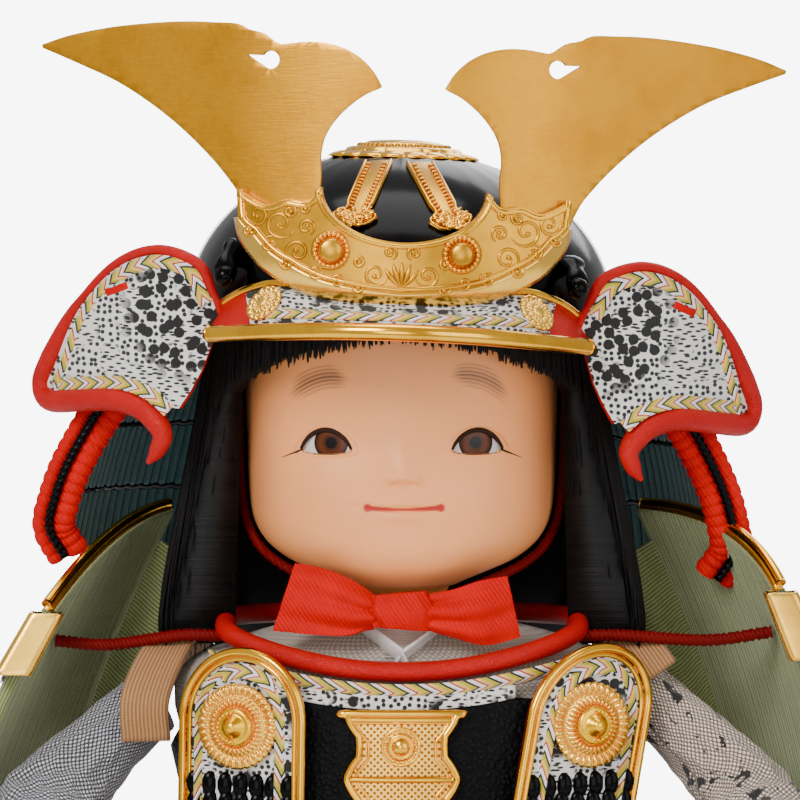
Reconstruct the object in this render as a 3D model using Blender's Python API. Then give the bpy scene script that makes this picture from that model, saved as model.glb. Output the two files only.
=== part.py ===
"""Seated warrior doll in a horned helmet, as separate solid pieces in metres, facing -Y, standing on Z = 0."""

import math

import bmesh
import bpy
import numpy as np
from mathutils import Matrix, Vector
from mathutils.geometry import tessellate_polygon

MM = 0.001
GAP = 0.3
WELD = 1e-7
SHARP_DEG = 42
FLAT_DEG = 0.3

# Head, in mm: each row is height, half width, front and back, from the neck's foot to the crown.
HEAD_ROWS = (
    (104.0, 9.5, -7.5, 11.5),
    (112.0, 9.5, -7.5, 11.5),
    (117.4, 10.5, -14.0, 13.0),
    (118.6, 12.5, -22.5, 15.0),
    (119.8, 15.0, -26.0, 17.0),
    (122.0, 20.5, -28.5, 20.0),
    (124.5, 26.0, -29.8, 24.0),
    (128.5, 30.8, -31.0, 28.0),
    (134.0, 33.6, -31.8, 31.0),
    (142.0, 34.6, -32.0, 33.0),
    (152.0, 34.9, -31.6, 34.5),
    (164.0, 35.3, -32.0, 35.0),
    (178.0, 35.5, -31.5, 35.0),
    (190.0, 34.0, -29.0, 33.0),
    (200.0, 29.0, -23.5, 27.0),
    (208.0, 19.5, -15.0, 18.0),
    (212.0, 7.0, -5.0, 7.0),
)
HEAD_POWER = 2.3
HEAD_SIDES = 24
NOSE_TIP = (0.4, -33.6, 143.2)
NOSE_REACH = 5.0

# Inset glass eyes.
EYE_X = 16.6
EYE_Z = 151.4
EYE_WIDTH = 11.2
EYE_HEIGHT = 5.8
EYE_BACK_Y = -24.5
EYE_FRONT_Y = -28.6

# Wig: a thick ring of hair with a fringe in front and long panels beside and behind the face.
WIG_TOP_Z = 188.0
WIG_HEM_Z = 112.0
FRINGE_Z = 173.4
TEMPLE_Z = 160.5
TEMPLE_DEG = 75.0
PANEL_DEG = 90.0
WIG_CORD_ROOM = 2.6

# Helmet bowl: half of an ellipsoid.
BOWL_CENTRE = (0.0, 2.0, 180.0)
BOWL_SEMI = (48.0, 54.0, 36.0)
BOWL_WALL = 3.0
BOWL_SIDES = 24
HELMET_ROLL_DEG = 2.0
HELMET_PIVOT = (-0.5, 0.0, 190.0)

# Crown ring and the two straps that run down the bowl's front.
CROWN_RADIUS = 14.5
CROWN_TUBE = 2.0
STRAP_WIDTH = 4.8
STRAP_TOP = (4.6, 213.0)
STRAP_FOOT = (11.4, 199.5)
STRAP_THICK = 1.0

# Visor: a brim between its root on the bowl and its rim.
VISOR_HALF = 40.0
VISOR_RIM_FRONT_Y = -65.0
VISOR_RIM_BEND = 0.016
VISOR_RIM_Z = 176.2
VISOR_END_DROP = 2.4
VISOR_ROOT_Z = 182.6
VISOR_ROOT_GAP = 0.5
VISOR_THICK = 1.6
VISOR_BULGE = 0.4
VISOR_TUBE = 1.55
VISOR_ROSETTE_RADIUS = 4.2

# Crest base and horns: bent plates over the visor.
CREST_FRONT_Y = -58.6
CREST_BEND = 0.007
CREST_THICK = 1.8
CREST_STEP = 13.0
CREST_Z = (181.9, 206.8)
HORN_THICK = 0.9
HORN_OFFSET_X = 1.2
HORN_STRAIGHT_X = 39.0
STUD_X = (-15.4, 12.8)
STUD_Z = 193.3
STUD_RADIUS = 4.3

# Ear flaps turned out on each side, with leather piping round the edge.
FLAP_INNER_X = 38.0
FLAP_FRONT_Y = -33.0
FLAP_BEND = 0.018
FLAP_THICK = 2.0
FLAP_TUBE = 1.9
FLAP_TUBE_LOW = 2.4
FLAP_STEP = 9.0

# Neck guard: lames that hang round the sides and back, each outside the one above.
GUARD_TOP = (181.5, 48.7, 54.6)
GUARD_FOOT = (121.0, 77.0, 74.0)
GUARD_THICK = 1.8
GUARD_LAP = 3.0
GUARD_STEP_DEG = 8.0
GUARD_END_STEPS = (13, 12, 11, 10)
GUARD_LAP_SHIFT = 3.0
GUARD_CENTRE_Y = 2.0

# Chin cord and bow.
CORD_RADIUS = 1.2
BOW_Y = -32.0

# Body.
TORSO_ROWS = (
    (40.0, 44.0, -32.0, 30.0),
    (62.0, 45.0, -33.0, 30.0),
    (84.0, 49.5, -33.0, 29.0),
    (93.0, 51.5, -32.0, 28.0),
    (99.0, 50.0, -30.0, 26.5),
    (104.0, 43.0, -27.0, 24.0),
    (107.5, 32.0, -23.0, 21.0),
    (110.5, 20.0, -19.0, 17.0),
)
TORSO_POWER = 2.2
TORSO_SIDES = 24
CUIRASS_WALL = 2.6
CUIRASS_GAP = 0.6
CUIRASS_FOOT_Z = 54.0
CUIRASS_FRONT_Z = 99.0
CUIRASS_SIDE_Z = 82.0
CUIRASS_BACK_Z = 98.0
PIPING_RADIUS = 2.0
PLAQUE_HALF = 13.0
PLAQUE_WAIST = 9.6
PLAQUE_Z = (66.0, 92.5)
PLAQUE_THICK = 1.4

# Breast plates with a rosette each: foot x, top x, height of the arch, half width.
BREAST_LEFT = (-35.6, -35.0, 105.5, 13.6)
BREAST_RIGHT = (36.5, 44.2, 106.0, 13.4)
BREAST_FOOT_Z = 62.0
BREAST_BEND = 0.0085
BREAST_FRONT_Y = -43.2
BREAST_THICK = 2.2
ROSETTE_RADIUS = 8.9
ROSETTE_HEIGHT = 3.2

# Shoulders and sleeves.
STRAP_BAND = (11.0, 1.8)
SHOULDER_CORD_RADIUS = 1.3
SLEEVE_PATH = ((52.4, -2, 92.6), (56.0, -2.4, 92.0), (68.0, -7, 81.5), (79.5, -15, 67), (83, -32, 53), (73, -49, 46.5))
SLEEVE_RADII = (7.6, 8.4, 11.4, 14.2, 13.2, 10.4)
SLEEVE_SIDES = 12
HAND_LENGTH = 17.0

# Shoulder guards: corners of the crown edge and of the hem, front to back, as seen from the front.
GUARD_PLATE_TOP = {-1: ((-76.3, -15, 114.4), (-63.1, 6, 129.4), (-51.0, 24, 135.5)),
                   1: ((81.5, -19, 119.5), (70.5, -4, 132.0), (52.5, 15, 136.0))}
GUARD_PLATE_HEM = ((99.0, -19, 60.0), (94.0, 10, 59.0), (80.0, 38, 61.0))
GUARD_PLATE_THICK = 3.0
GUARD_CROWN_SHARE = 0.2
GUARD_ROWS = 5

# Lower body, which stands on the table.
TROUSER_ROWS = (
    (0.0, 70.0, -64.0, 40.0),
    (14.0, 74.0, -68.0, 43.0),
    (26.0, 71.0, -63.0, 41.0),
    (34.0, 62.0, -52.0, 37.0),
    (39.7, 50.0, -38.0, 33.0),
)
TROUSER_POWER = 2.6
BOOT_X = 30.0
BOOT_HEEL_Y = -67.2
BOOT_SIZE = (22.0, 27.0, 17.0)
TASSET_TOP_Z = 57.0
TASSET_HALF = 48.9
TASSET_FRONT_Y = -36.9
TASSET_BACK_Y = 33.9
TASSET_THICK = 2.4


def clear_scene():
    for obj in list(bpy.data.objects):
        bpy.data.objects.remove(obj, do_unlink=True)


def principled(name, colour, metallic, roughness):
    material = bpy.data.materials.new(name + "_finish")
    material.use_nodes = True
    shader = material.node_tree.nodes["Principled BSDF"]
    shader.inputs["Base Color"].default_value = (*colour, 1.0)
    shader.inputs["Metallic"].default_value = metallic
    shader.inputs["Roughness"].default_value = roughness
    return material


FINISHES = {
    "gold": ((0.72, 0.48, 0.13), 1.0, 0.32),
    "lacquer": ((0.012, 0.012, 0.013), 0.0, 0.12),
    "hair": ((0.012, 0.010, 0.010), 0.0, 0.45),
    "skin": ((0.85, 0.53, 0.33), 0.0, 0.45),
    "glass": ((0.10, 0.04, 0.02), 0.0, 0.05),
    "red": ((0.42, 0.03, 0.02), 0.0, 0.55),
    "cloth": ((0.62, 0.55, 0.45), 0.0, 0.85),
    "white": ((0.85, 0.84, 0.80), 0.0, 0.8),
    "lacing": ((0.50, 0.06, 0.04), 0.0, 0.8),
    "brocade": ((0.30, 0.29, 0.30), 0.0, 0.7),
    "lining": ((0.16, 0.17, 0.07), 0.0, 0.8),
    "satin": ((0.45, 0.30, 0.17), 0.0, 0.5),
}


def close_body(bm):
    """Weld, then turn every face outward."""
    bmesh.ops.remove_doubles(bm, verts=bm.verts, dist=WELD)
    bmesh.ops.recalc_face_normals(bm, faces=bm.faces)
    if bm.calc_volume(signed=True) < 0:
        bmesh.ops.reverse_faces(bm, faces=bm.faces)


def add_object(name, bm, finish, group=None):
    """Scale the mm mesh to metres, place it with its group and give it a finish."""
    bm.transform(Matrix.Scale(MM, 4) @ (group or Matrix.Identity(4)))
    close_body(bm)
    mesh = bpy.data.meshes.new(name)
    bm.to_mesh(mesh)
    bm.free()
    mesh.shade_smooth()
    mesh.set_sharp_from_angle(angle=math.radians(SHARP_DEG))
    mesh.materials.append(principled(name, *FINISHES[finish]))
    obj = bpy.data.objects.new(name, mesh)
    bpy.context.scene.collection.objects.link(obj)
    return obj


def from_faces(points, faces):
    bm = bmesh.new()
    verts = [bm.verts.new(Vector(map(float, p))) for p in points]
    for face in faces:
        bm.faces.new([verts[i] for i in face])
    return bm


def loft(name, rings, finish, group=None, wrap=False):
    """Closed rings joined in order, capped at both ends unless the last joins the first."""
    rings = np.asarray(rings, float)
    count, sides = rings.shape[:2]
    faces = []
    for r in range(count if wrap else count - 1):
        a, b = r * sides, (r + 1) % count * sides
        faces += [(a + s, a + (s + 1) % sides, b + (s + 1) % sides, b + s) for s in range(sides)]
    if not wrap:
        faces.append(tuple(range(sides))[::-1])
        faces.append(tuple(range((count - 1) * sides, count * sides)))
    return add_object(name, from_faces(rings.reshape(-1, 3), faces), finish, group)


def shell(name, outer, inner, finish, group=None, wrap=False):
    """Two sheets on the same grid, joined round their border; wrap closes the first direction."""
    outer, inner = np.asarray(outer, float), np.asarray(inner, float)
    nu, nv = outer.shape[:2]
    base = nu * nv
    faces = []
    for u in range(nu if wrap else nu - 1):
        a, b = u * nv, (u + 1) % nu * nv
        for v in range(nv - 1):
            faces.append((a + v, b + v, b + v + 1, a + v + 1))
            faces.append((base + a + v, base + a + v + 1, base + b + v + 1, base + b + v))
        for v, w in ((0, 0), (nv - 1, nv - 1)):
            faces.append((a + v, b + w, base + b + w, base + a + v))
    if not wrap:
        for end in (0, (nu - 1) * nv):
            faces += [(end + v, end + v + 1, base + end + v + 1, base + end + v) for v in range(nv - 1)]
    points = np.concatenate([outer.reshape(-1, 3), inner.reshape(-1, 3)])
    return add_object(name, from_faces(points, faces), finish, group)


def through(points, per_span, closed=False):
    """A smooth path through the points, with the given number of steps in each span."""
    pts = np.asarray(points, float)
    n = len(pts)
    out = []
    for i in range(n if closed else n - 1):
        near = [(i + k) % n if closed else min(max(i + k, 0), n - 1) for k in (-1, 0, 1, 2)]
        p0, p1, p2, p3 = pts[near]
        for step in range(per_span):
            t = step / per_span
            out.append(0.5 * (2 * p1 + (p2 - p0) * t + (2 * p0 - 5 * p1 + 4 * p2 - p3) * t**2
                              + (3 * p1 - p0 - 3 * p2 + p3) * t**3))
    if not closed:
        out.append(pts[-1])
    return np.array(out)


def frames(path, closed):
    """Two directions across the path at each point, carried along it without twist."""
    path = np.asarray(path, float)
    ahead = np.roll(path, -1, 0) - np.roll(path, 1, 0)
    if not closed:
        ahead[0], ahead[-1] = path[1] - path[0], path[-1] - path[-2]
    ahead /= np.linalg.norm(ahead, axis=1)[:, None]
    across = np.cross(ahead[0], (0.0, 0.0, 1.0) if abs(ahead[0][2]) < 0.9 else (0.0, 1.0, 0.0))
    pairs = []
    for t in ahead:
        across = across - t * across.dot(t)
        across /= np.linalg.norm(across)
        pairs.append((across, np.cross(t, across)))
    return pairs


def tube_rings(path, radii, sides, closed=False, flat=1.0):
    radii = np.broadcast_to(radii, len(path))
    turn = np.arange(sides) * 2 * math.pi / sides
    return [[p + r * (math.cos(a) * x + flat * math.sin(a) * y) for a in turn]
            for p, r, (x, y) in zip(path, radii, frames(path, closed))]


def tube(name, path, radii, sides, finish, group=None, closed=False):
    return loft(name, tube_rings(path, radii, sides, closed), finish, group, closed)


def band(name, path, normals, width, thick, finish, group=None):
    """A flat strap along a path; normals point away from what it lies on."""
    rings = []
    path = np.asarray(path, float)
    ahead = np.gradient(path, axis=0)
    for p, t, n in zip(path, ahead, np.asarray(normals, float)):
        n = n / np.linalg.norm(n)
        side = np.cross(t, n)
        side /= np.linalg.norm(side)
        half = side * width / 2
        rings.append([p - half, p + half, p + half + n * thick, p - half + n * thick])
    return loft(name, rings, finish, group)


def lathe(name, profile, base, axis, sides, finish, group=None):
    """Rings of (radius, height) round an axis that starts at the base point."""
    axis = np.asarray(axis, float) / np.linalg.norm(axis)
    x = np.cross(axis, (0.0, 0.0, 1.0) if abs(axis[2]) < 0.9 else (1.0, 0.0, 0.0))
    x /= np.linalg.norm(x)
    y = np.cross(axis, x)
    turn = np.arange(sides) * 2 * math.pi / sides
    rings = [[np.asarray(base) + axis * h + r * (math.cos(a) * x + math.sin(a) * y) for a in turn]
             for r, h in profile]
    return loft(name, rings, finish, group)


def plate(name, outline, y_front, thick, bend, stations, finish, group=None, holes=()):
    """A flat outline in x and z given thickness, then folded in y at the stations in x to follow a bend."""
    loops = [list(map(tuple, loop)) for loop in (outline, *holes)]
    flat = [p for loop in loops for p in loop]
    faces3 = tessellate_polygon([[Vector((x, z, 0)) for x, z in loop] for loop in loops])
    n = len(flat)
    points = [(x, y_front, z) for x, z in flat] + [(x, y_front + thick, z) for x, z in flat]
    faces = [tuple(f) for f in faces3] + [tuple(i + n for i in reversed(f)) for f in faces3]
    start = 0
    for loop in loops:
        m = len(loop)
        faces += [(start + i, start + (i + 1) % m, start + (i + 1) % m + n, start + i + n)
                  for i in range(m)]
        start += m
    bm = from_faces(points, faces)
    depths = [bend(x) for x in stations]
    for x in stations:
        bmesh.ops.bisect_plane(bm, geom=bm.verts[:] + bm.edges[:] + bm.faces[:], dist=1e-4,
                               plane_co=(x, 0, 0), plane_no=(1, 0, 0))
    for v in bm.verts:
        v.co.y += float(np.interp(v.co.x, stations, depths))
    bmesh.ops.dissolve_limit(bm, angle_limit=math.radians(FLAT_DEG), verts=bm.verts, edges=bm.edges)
    return add_object(name, bm, finish, group)


def cut(obj, cutter):
    """Take the cutter's shape out of the object for good."""
    modifier = obj.modifiers.new("cut", "BOOLEAN")
    modifier.operation = "DIFFERENCE"
    modifier.solver = "EXACT"
    modifier.object = cutter
    graph = bpy.context.evaluated_depsgraph_get()
    made = bpy.data.meshes.new_from_object(obj.evaluated_get(graph))
    obj.modifiers.remove(modifier)
    obj.data = made
    bpy.data.objects.remove(cutter, do_unlink=True)


def oval(half_width, front, back, power, angle):
    """A point of a squared oval; angle 0 faces front and grows toward +X."""
    s, c = math.sin(angle), math.cos(angle)
    x = half_width * math.copysign(abs(s) ** (2 / power), s)
    middle = (front + back) / 2
    reach = (back - front) / 2
    return x, middle - reach * math.copysign(abs(c) ** (2 / power), c)


def row_at(rows, z):
    rows = np.asarray(rows)
    return [float(np.interp(z, rows[:, 0], rows[:, k])) for k in (1, 2, 3)]


def around(rows, power, z, angle, out=0.0):
    """A point on a body given by rows, moved outward in plan."""
    half, front, back = row_at(rows, z)
    x, y = oval(half + out, front - out, back + out, power, angle)
    return np.array([x, y, z])


def turns(sides):
    return [2 * math.pi * k / sides for k in range(sides)]


def smoothstep(t):
    t = min(max(t, 0.0), 1.0)
    return t * t * (3 - 2 * t)


def helmet_group():
    pivot = Vector(HELMET_PIVOT)
    return (Matrix.Translation(pivot) @ Matrix.Rotation(math.radians(HELMET_ROLL_DEG), 4, "Y")
            @ Matrix.Translation(-pivot))


def bowl_point(angle, height, out=0.0):
    """A point on the bowl: angle 0 faces front, height is in mm above the table."""
    a, b, c = (s + out for s in BOWL_SEMI)
    cx, cy, cz = BOWL_CENTRE
    level = math.sqrt(max(0.0, 1 - ((height - cz) / c) ** 2))
    return np.array([cx + a * level * math.sin(angle), cy - b * level * math.cos(angle), height])


def bowl_y(x, z, out=0.0):
    """Depth of the bowl's front at the given x and z."""
    a, b, c = (s + out for s in BOWL_SEMI)
    left = 1 - (x / a) ** 2 - ((z - BOWL_CENTRE[2]) / c) ** 2
    return BOWL_CENTRE[1] - b * math.sqrt(max(0.0, left))


def build_head():
    rings = [[around(HEAD_ROWS, HEAD_POWER, row[0], a) for a in turns(HEAD_SIDES)]
             for row in HEAD_ROWS]
    tip = np.array(NOSE_TIP)
    for ring in rings:
        for p in ring:
            away = np.linalg.norm((p - tip) * (1, 0, 1))
            if p[1] < 0 and away < NOSE_REACH:
                p[1] += (tip[1] - p[1]) * (1 - smoothstep(away / NOSE_REACH))
    head = loft("head", rings, "skin")
    for side in (-1, 1):
        cut(head, eye_solid("socket", side, EYE_BACK_Y + GAP, EYE_FRONT_Y - 12, GAP))
        eye_solid("eye_left" if side < 0 else "eye_right", side, EYE_BACK_Y, EYE_FRONT_Y, 0.0)


def eye_solid(name, side, back, front, grow):
    """An almond plug: both lids are arcs that meet at the corners."""
    half, tall = EYE_WIDTH / 2 + grow, EYE_HEIGHT / 2 + grow
    turn = turns(14)
    outline = [(side * EYE_X + half * math.copysign(abs(math.cos(a)) ** 0.8, math.cos(a)),
                EYE_Z + tall * math.sin(a)) for a in turn]
    middle = np.mean([[x, z] for x, z in outline], axis=0)
    rings = [[(x, back, z) for x, z in outline], [(x, front, z) for x, z in outline]]
    if not grow:
        rings.append([(middle[0] + (x - middle[0]) * 0.55, front - 0.5, middle[1] + (z - middle[1]) * 0.55)
                      for x, z in outline])
    return loft(name, rings, "glass")


def wig_hem(angle):
    """Lower edge of the hair: the fringe in front, then long panels."""
    deg = abs(math.degrees(math.remainder(angle, 2 * math.pi)))
    return float(np.interp(deg, (0, 40, 63, TEMPLE_DEG, PANEL_DEG, 180),
                           (FRINGE_Z, 167.5, 164.6, TEMPLE_Z, WIG_HEM_Z, WIG_HEM_Z + 2)))


def wig_inner(angle, z):
    side = max(0.0, math.sin(angle) ** 2 - 0.55) / 0.45
    return around(HEAD_ROWS, HEAD_POWER, max(z, 142.0), angle, GAP + 0.5 + WIG_CORD_ROOM * side) * (1, 1, 0) \
        + np.array([0, 0, z])


def wig_thickness(angle, z):
    flare = np.interp(z, (112, 121, 138, 160, 173, 188), (17.5, 16, 12.5, 7.5, 5.0, 2.2))
    front = max(0.0, math.cos(angle)) ** 0.5
    back = max(0.0, -math.cos(angle))
    return float(flare * (1 - front) + 2.2 * front) * (1 - 0.45 * back)


def build_wig():
    rows = 6
    inner, outer = [], []
    for a in turns(HEAD_SIDES):
        heights = np.linspace(WIG_TOP_Z, wig_hem(a), rows)
        inner.append([wig_inner(a, z) for z in heights])
        column = []
        for z in heights:
            base = wig_inner(a, z)
            half, front, back = row_at(HEAD_ROWS, max(z, 142.0))
            x, y = oval(half + 8, front - 8, back + 8, HEAD_POWER, a)
            way = np.array([x, y, z]) - base
            column.append(base + way / np.linalg.norm(way) * wig_thickness(a, z))
        outer.append(column)
    shell("wig", outer, inner, "hair", wrap=True)


def build_bowl(group):
    rows = 5
    heights = [BOWL_CENTRE[2] + BOWL_SEMI[2] * math.sin(math.radians(90 * k / rows)) for k in range(rows)]
    inner_scale = [(s - BOWL_WALL) / s for s in BOWL_SEMI]
    centre = np.array(BOWL_CENTRE)
    outer = [[bowl_point(a, z) for z in heights] for a in turns(BOWL_SIDES)]
    rings = [[column[k] for column in outer] for k in range(rows)]
    rings.append([centre + (0, 0, BOWL_SEMI[2]) + (np.array([math.sin(a), -math.cos(a), 0])) * 2
                  for a in turns(BOWL_SIDES)])
    inside = [[centre + (p - centre) * inner_scale for p in ring] for ring in rings]
    loft("helmet_bowl", inside[::-1] + rings, "lacquer", group)


def build_crown_ring(group):
    path = []
    for k in range(24):
        a = 2 * math.pi * k / 24
        r = CROWN_RADIUS + (0.9 if k % 2 else 0.0)
        x, y = r * math.sin(a), -r * math.cos(a)
        level = 1 - (x / BOWL_SEMI[0]) ** 2 - (y / BOWL_SEMI[1]) ** 2
        path.append((x, BOWL_CENTRE[1] + y, BOWL_CENTRE[2] + BOWL_SEMI[2] * math.sqrt(level) + CROWN_TUBE * 0.6))
    rings = []
    for x, y, z in path:
        out = np.array([x, y - BOWL_CENTRE[1], 0.0])
        out /= np.linalg.norm(out)
        p = np.array([x, y, z])
        up = np.array([0, 0, 1.0])
        rings.append([p + out * CROWN_TUBE * 1.3 - up * 0.3, p + up * CROWN_TUBE * 0.7,
                      p - out * CROWN_TUBE * 1.3 + up * 0.3, p - up * (CROWN_TUBE * 0.6 - GAP - 0.1)])
    loft("crown_ring", rings, "gold", group, wrap=True)


def build_bowl_straps(group):
    for side, name in ((-1, "bowl_strap_left"), (1, "bowl_strap_right")):
        path, normals = [], []
        for t in np.linspace(0, 1, 6):
            x = side * (STRAP_TOP[0] + (STRAP_FOOT[0] - STRAP_TOP[0]) * t) - 1.4 * (1 - t)
            z = STRAP_TOP[1] + (STRAP_FOOT[1] - STRAP_TOP[1]) * t
            path.append((x, bowl_y(x, z, GAP + 0.1), z))
            semi = np.array(BOWL_SEMI)
            normals.append((np.array(path[-1]) - BOWL_CENTRE) / semi**2)
        band(name, path, normals, STRAP_WIDTH, STRAP_THICK, "gold", group)


def visor_rim_point(x):
    edge = abs(x) / VISOR_HALF
    return np.array([x, VISOR_RIM_FRONT_Y + VISOR_RIM_BEND * x * x, VISOR_RIM_Z - VISOR_END_DROP * edge**2])


def visor_root_point(x):
    wide = x * 1.06
    z = VISOR_ROOT_Z - 7.5 * (abs(x) / VISOR_HALF) ** 3
    return np.array([wide, bowl_y(wide, max(z, 180.0), VISOR_ROOT_GAP + 0.4), z])


def visor_point(x, t):
    """From the rim at t = 0 to the root at t = 1, bowed upward between them."""
    rim, root = visor_rim_point(x), visor_root_point(x)
    p = rim + (root - rim) * t
    p[2] += VISOR_BULGE * math.sin(math.pi * t)
    return p


def build_visor(group):
    xs = np.linspace(-VISOR_HALF, VISOR_HALF, 17)
    top, under = [], []
    for x in xs:
        way = visor_root_point(x) - visor_rim_point(x)
        along = visor_rim_point(x + 0.5) - visor_rim_point(x - 0.5)
        clear = np.linalg.norm(np.cross(way, along)) / np.linalg.norm(along)
        stations = np.linspace((VISOR_TUBE + 2 * GAP) / clear, 1, 4)
        row = [visor_point(x, t) for t in stations]
        top.append([p + (0, 0, VISOR_THICK / 2) for p in row])
        under.append([p - (0, 0, VISOR_THICK / 2) for p in row])
    shell("visor", top, under, "red", group)
    path = [visor_rim_point(x) for x in xs]
    tube("visor_rim", path, VISOR_TUBE, 7, "gold", group)
    for side, name in ((-1, "visor_rosette_left"), (1, "visor_rosette_right")):
        p = visor_point(side * 28.5, 0.5)
        q = visor_point(side * 26.5, 0.5)
        r = visor_point(side * 28.5, 0.6)
        normal = np.cross(q - p, r - p) * side
        normal = normal / np.linalg.norm(normal)
        normal = normal if normal[2] > 0 else -normal
        base = p + (0, 0, VISOR_THICK / 2) + normal * (GAP + 0.25)
        profile = ((VISOR_ROSETTE_RADIUS, 0), (VISOR_ROSETTE_RADIUS, 0.8), (1.8, 1.3), (1.6, 1.9), (0.7, 2.2))
        lathe(name, profile, base, normal, 12, "gold", group)


def crest_bend(x):
    """Depth added to a crest plate: curved near the middle, straight beyond the horn's foot."""
    reach = min(abs(x), HORN_STRAIGHT_X)
    return CREST_BEND * reach**2 + 2 * CREST_BEND * HORN_STRAIGHT_X * max(0.0, abs(x) - HORN_STRAIGHT_X)


CREST_STATIONS = np.array([-7, -3, -2, -1, 0, 1, 2, 3, 7]) * CREST_STEP


def build_crest_base(group):
    top_edge = [(18.0, CREST_Z[1]), (21.0, 203.6), (25.5, 203.9), (30.0, 202.6), (36.4, 205.7)]
    outer = through([(36.4, 205.7), (36.6, 199.5), (34.3, 193.2), (26.4, 186.2), (16.6, 182.8),
                     (0.0, CREST_Z[0])], 3)
    inner = [(18.0 * math.cos(a), CREST_Z[1] - 11.4 * math.sin(a))
             for a in np.linspace(0, math.pi / 2, 7)]
    right = inner[::-1] + top_edge[1:-1] + [tuple(p) for p in outer]
    left = [(-x, z) for x, z in right[::-1] if abs(x) > 1e-6]
    plate("crest_base", right + left, CREST_FRONT_Y, CREST_THICK, crest_bend,
          CREST_STATIONS, "gold", group)
    for x, name in zip(STUD_X, ("crest_stud_left", "crest_stud_right")):
        slope = 2 * CREST_BEND * x
        normal = np.array([slope, -1.0, 0.0])
        base = np.array([x, CREST_FRONT_Y + crest_bend(x), STUD_Z]) + normal * (GAP + 0.2)
        profile = ((STUD_RADIUS, 0), (STUD_RADIUS, 1.2), (2.6, 1.5), (2.3, 3.2), (1.6, 3.6))
        lathe(name, profile, base, normal, 14, "gold", group)


def horn_outline():
    tip_edge = [(82.4, 236.2), (43.1, 241.8)]
    top = through([(43.1, 241.8), (37.6, 241.3), (33.0, 239.6), (29.7, 237.4)], 2)
    lobe = through([(29.7, 237.4), (23.5, 238.0), (15.8, 237.0), (10.9, 234.2), (6.8, 228.8)], 2)
    inner = through([(6.8, 228.8), (10.9, 226.6), (15.4, 222.8), (18.5, 218.4), (19.6, 213.8),
                     (19.4, 208.0)], 2)
    stem = [(21.0, 196.0), (33.0, 196.0), (36.4, 203.2)]
    outer = through([(38.2, 206.2), (43.3, 212.1), (57.1, 223.6), (73.9, 232.1), (82.3, 235.4)], 3)
    path = [*tip_edge[:1], *top, *lobe[1:], *inner[1:], *stem, *outer[:-1]]
    return [tuple(p) for p in path]


def teardrop():
    """Round toward the middle of the crest, pointed outward."""
    turn = np.linspace(math.radians(50), math.radians(310), 7)
    return [(30.9 + 2.0 * math.cos(a), 234.0 + 1.9 * math.sin(a)) for a in turn] + [(36.3, 234.6)]


def build_horns(group):
    for side, name in ((-1, "horn_left"), (1, "horn_right")):
        shift = Matrix.Translation((HORN_OFFSET_X, 0, 0))
        outline = [(side * x, z) for x, z in horn_outline()]
        hole = [(side * x, z) for x, z in teardrop()]
        y = CREST_FRONT_Y + CREST_THICK + GAP + 0.25
        plate(name, outline, y, HORN_THICK, lambda x: crest_bend(x + HORN_OFFSET_X),
              CREST_STATIONS - HORN_OFFSET_X, "gold", group @ shift, holes=(hole,))


FLAP_STATIONS = FLAP_INNER_X + np.arange(6) * FLAP_STEP


def flap_bend(x):
    return FLAP_BEND * max(0.0, abs(x) - FLAP_INNER_X) ** 2


def flap_edge():
    """Centreline of the piping: inner end at the top, round the outside, and down to the curled tip."""
    return through([(41.6, 183.0), (45.0, 189.0), (54.0, 191.2), (63.5, 187.6), (72.6, 177.4), (79.4, 162.6),
                    (78.4, 157.2), (71.0, 157.6), (62.0, 158.6), (54.0, 156.6), (50.0, 150.8), (54.2, 143.0)], 2)


def build_flaps(group):
    edge = flap_edge()
    for side, word in ((-1, "left"), (1, "right")):
        path = [(side * x, FLAP_FRONT_Y + flap_bend(x) + FLAP_THICK / 2, z) for x, z in edge]
        share = np.linspace(0, 1, len(path))
        radii = np.interp(share, (0, 0.45, 0.6, 0.85, 1), (FLAP_TUBE, FLAP_TUBE, FLAP_TUBE_LOW, FLAP_TUBE_LOW, 0.7))
        tube(f"flap_piping_{word}", path, radii, 6, "red", group)
        ahead = np.gradient(edge, axis=0)
        inset = []
        for k in (*range(11), *range(13, 19)):
            inward = np.array([ahead[k][1], -ahead[k][0]]) / np.linalg.norm(ahead[k])
            inset.append(tuple(edge[k] + inward * (radii[k] + GAP + 0.35)))
        inner = [(51.5, 161.0), (44.0, 166.0), (42.0, 177.0)]
        outline = [(side * x, z) for x, z in inset + inner]
        plate(f"ear_flap_{word}", outline, FLAP_FRONT_Y, FLAP_THICK, flap_bend,
              FLAP_STATIONS if side > 0 else -FLAP_STATIONS[::-1], "cloth", group)


def build_brackets(group):
    for side, word in ((-1, "left"), (1, "right")):
        x = side * 36.6
        base = np.array([x, bowl_y(x, 192.0) - GAP - 1.2, 192.5])
        out = np.array([side * 0.35, -1.0, 0.0])
        out /= np.linalg.norm(out)
        rings = []
        for depth, half_w, half_h in ((0, 1.3, 2.6), (3.5, 1.3, 3.6), (7.0, 1.6, 4.0), (8.2, 1.0, 3.0)):
            side_way = np.array([out[1], -out[0], 0.0])
            rings.append([base + out * depth + side_way * half_w * math.cos(a) + np.array([0, 0, half_h]) * math.sin(a)
                          for a in turns(8)])
        loft(f"side_bracket_{word}", rings, "lacquer", group)


def guard_point(angle, z):
    """A point of the neck guard; angle 0 is the middle of the back."""
    (z0, x0, y0), (z1, x1, y1) = GUARD_TOP, GUARD_FOOT
    t = (z0 - z) / (z0 - z1)
    ease = 1.35 * t - 0.35 * t * t
    rx, ry = x0 + (x1 - x0) * ease, y0 + (y1 - y0) * ease
    return np.array([rx * math.sin(angle), GUARD_CENTRE_Y + ry * math.cos(angle), z])


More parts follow.
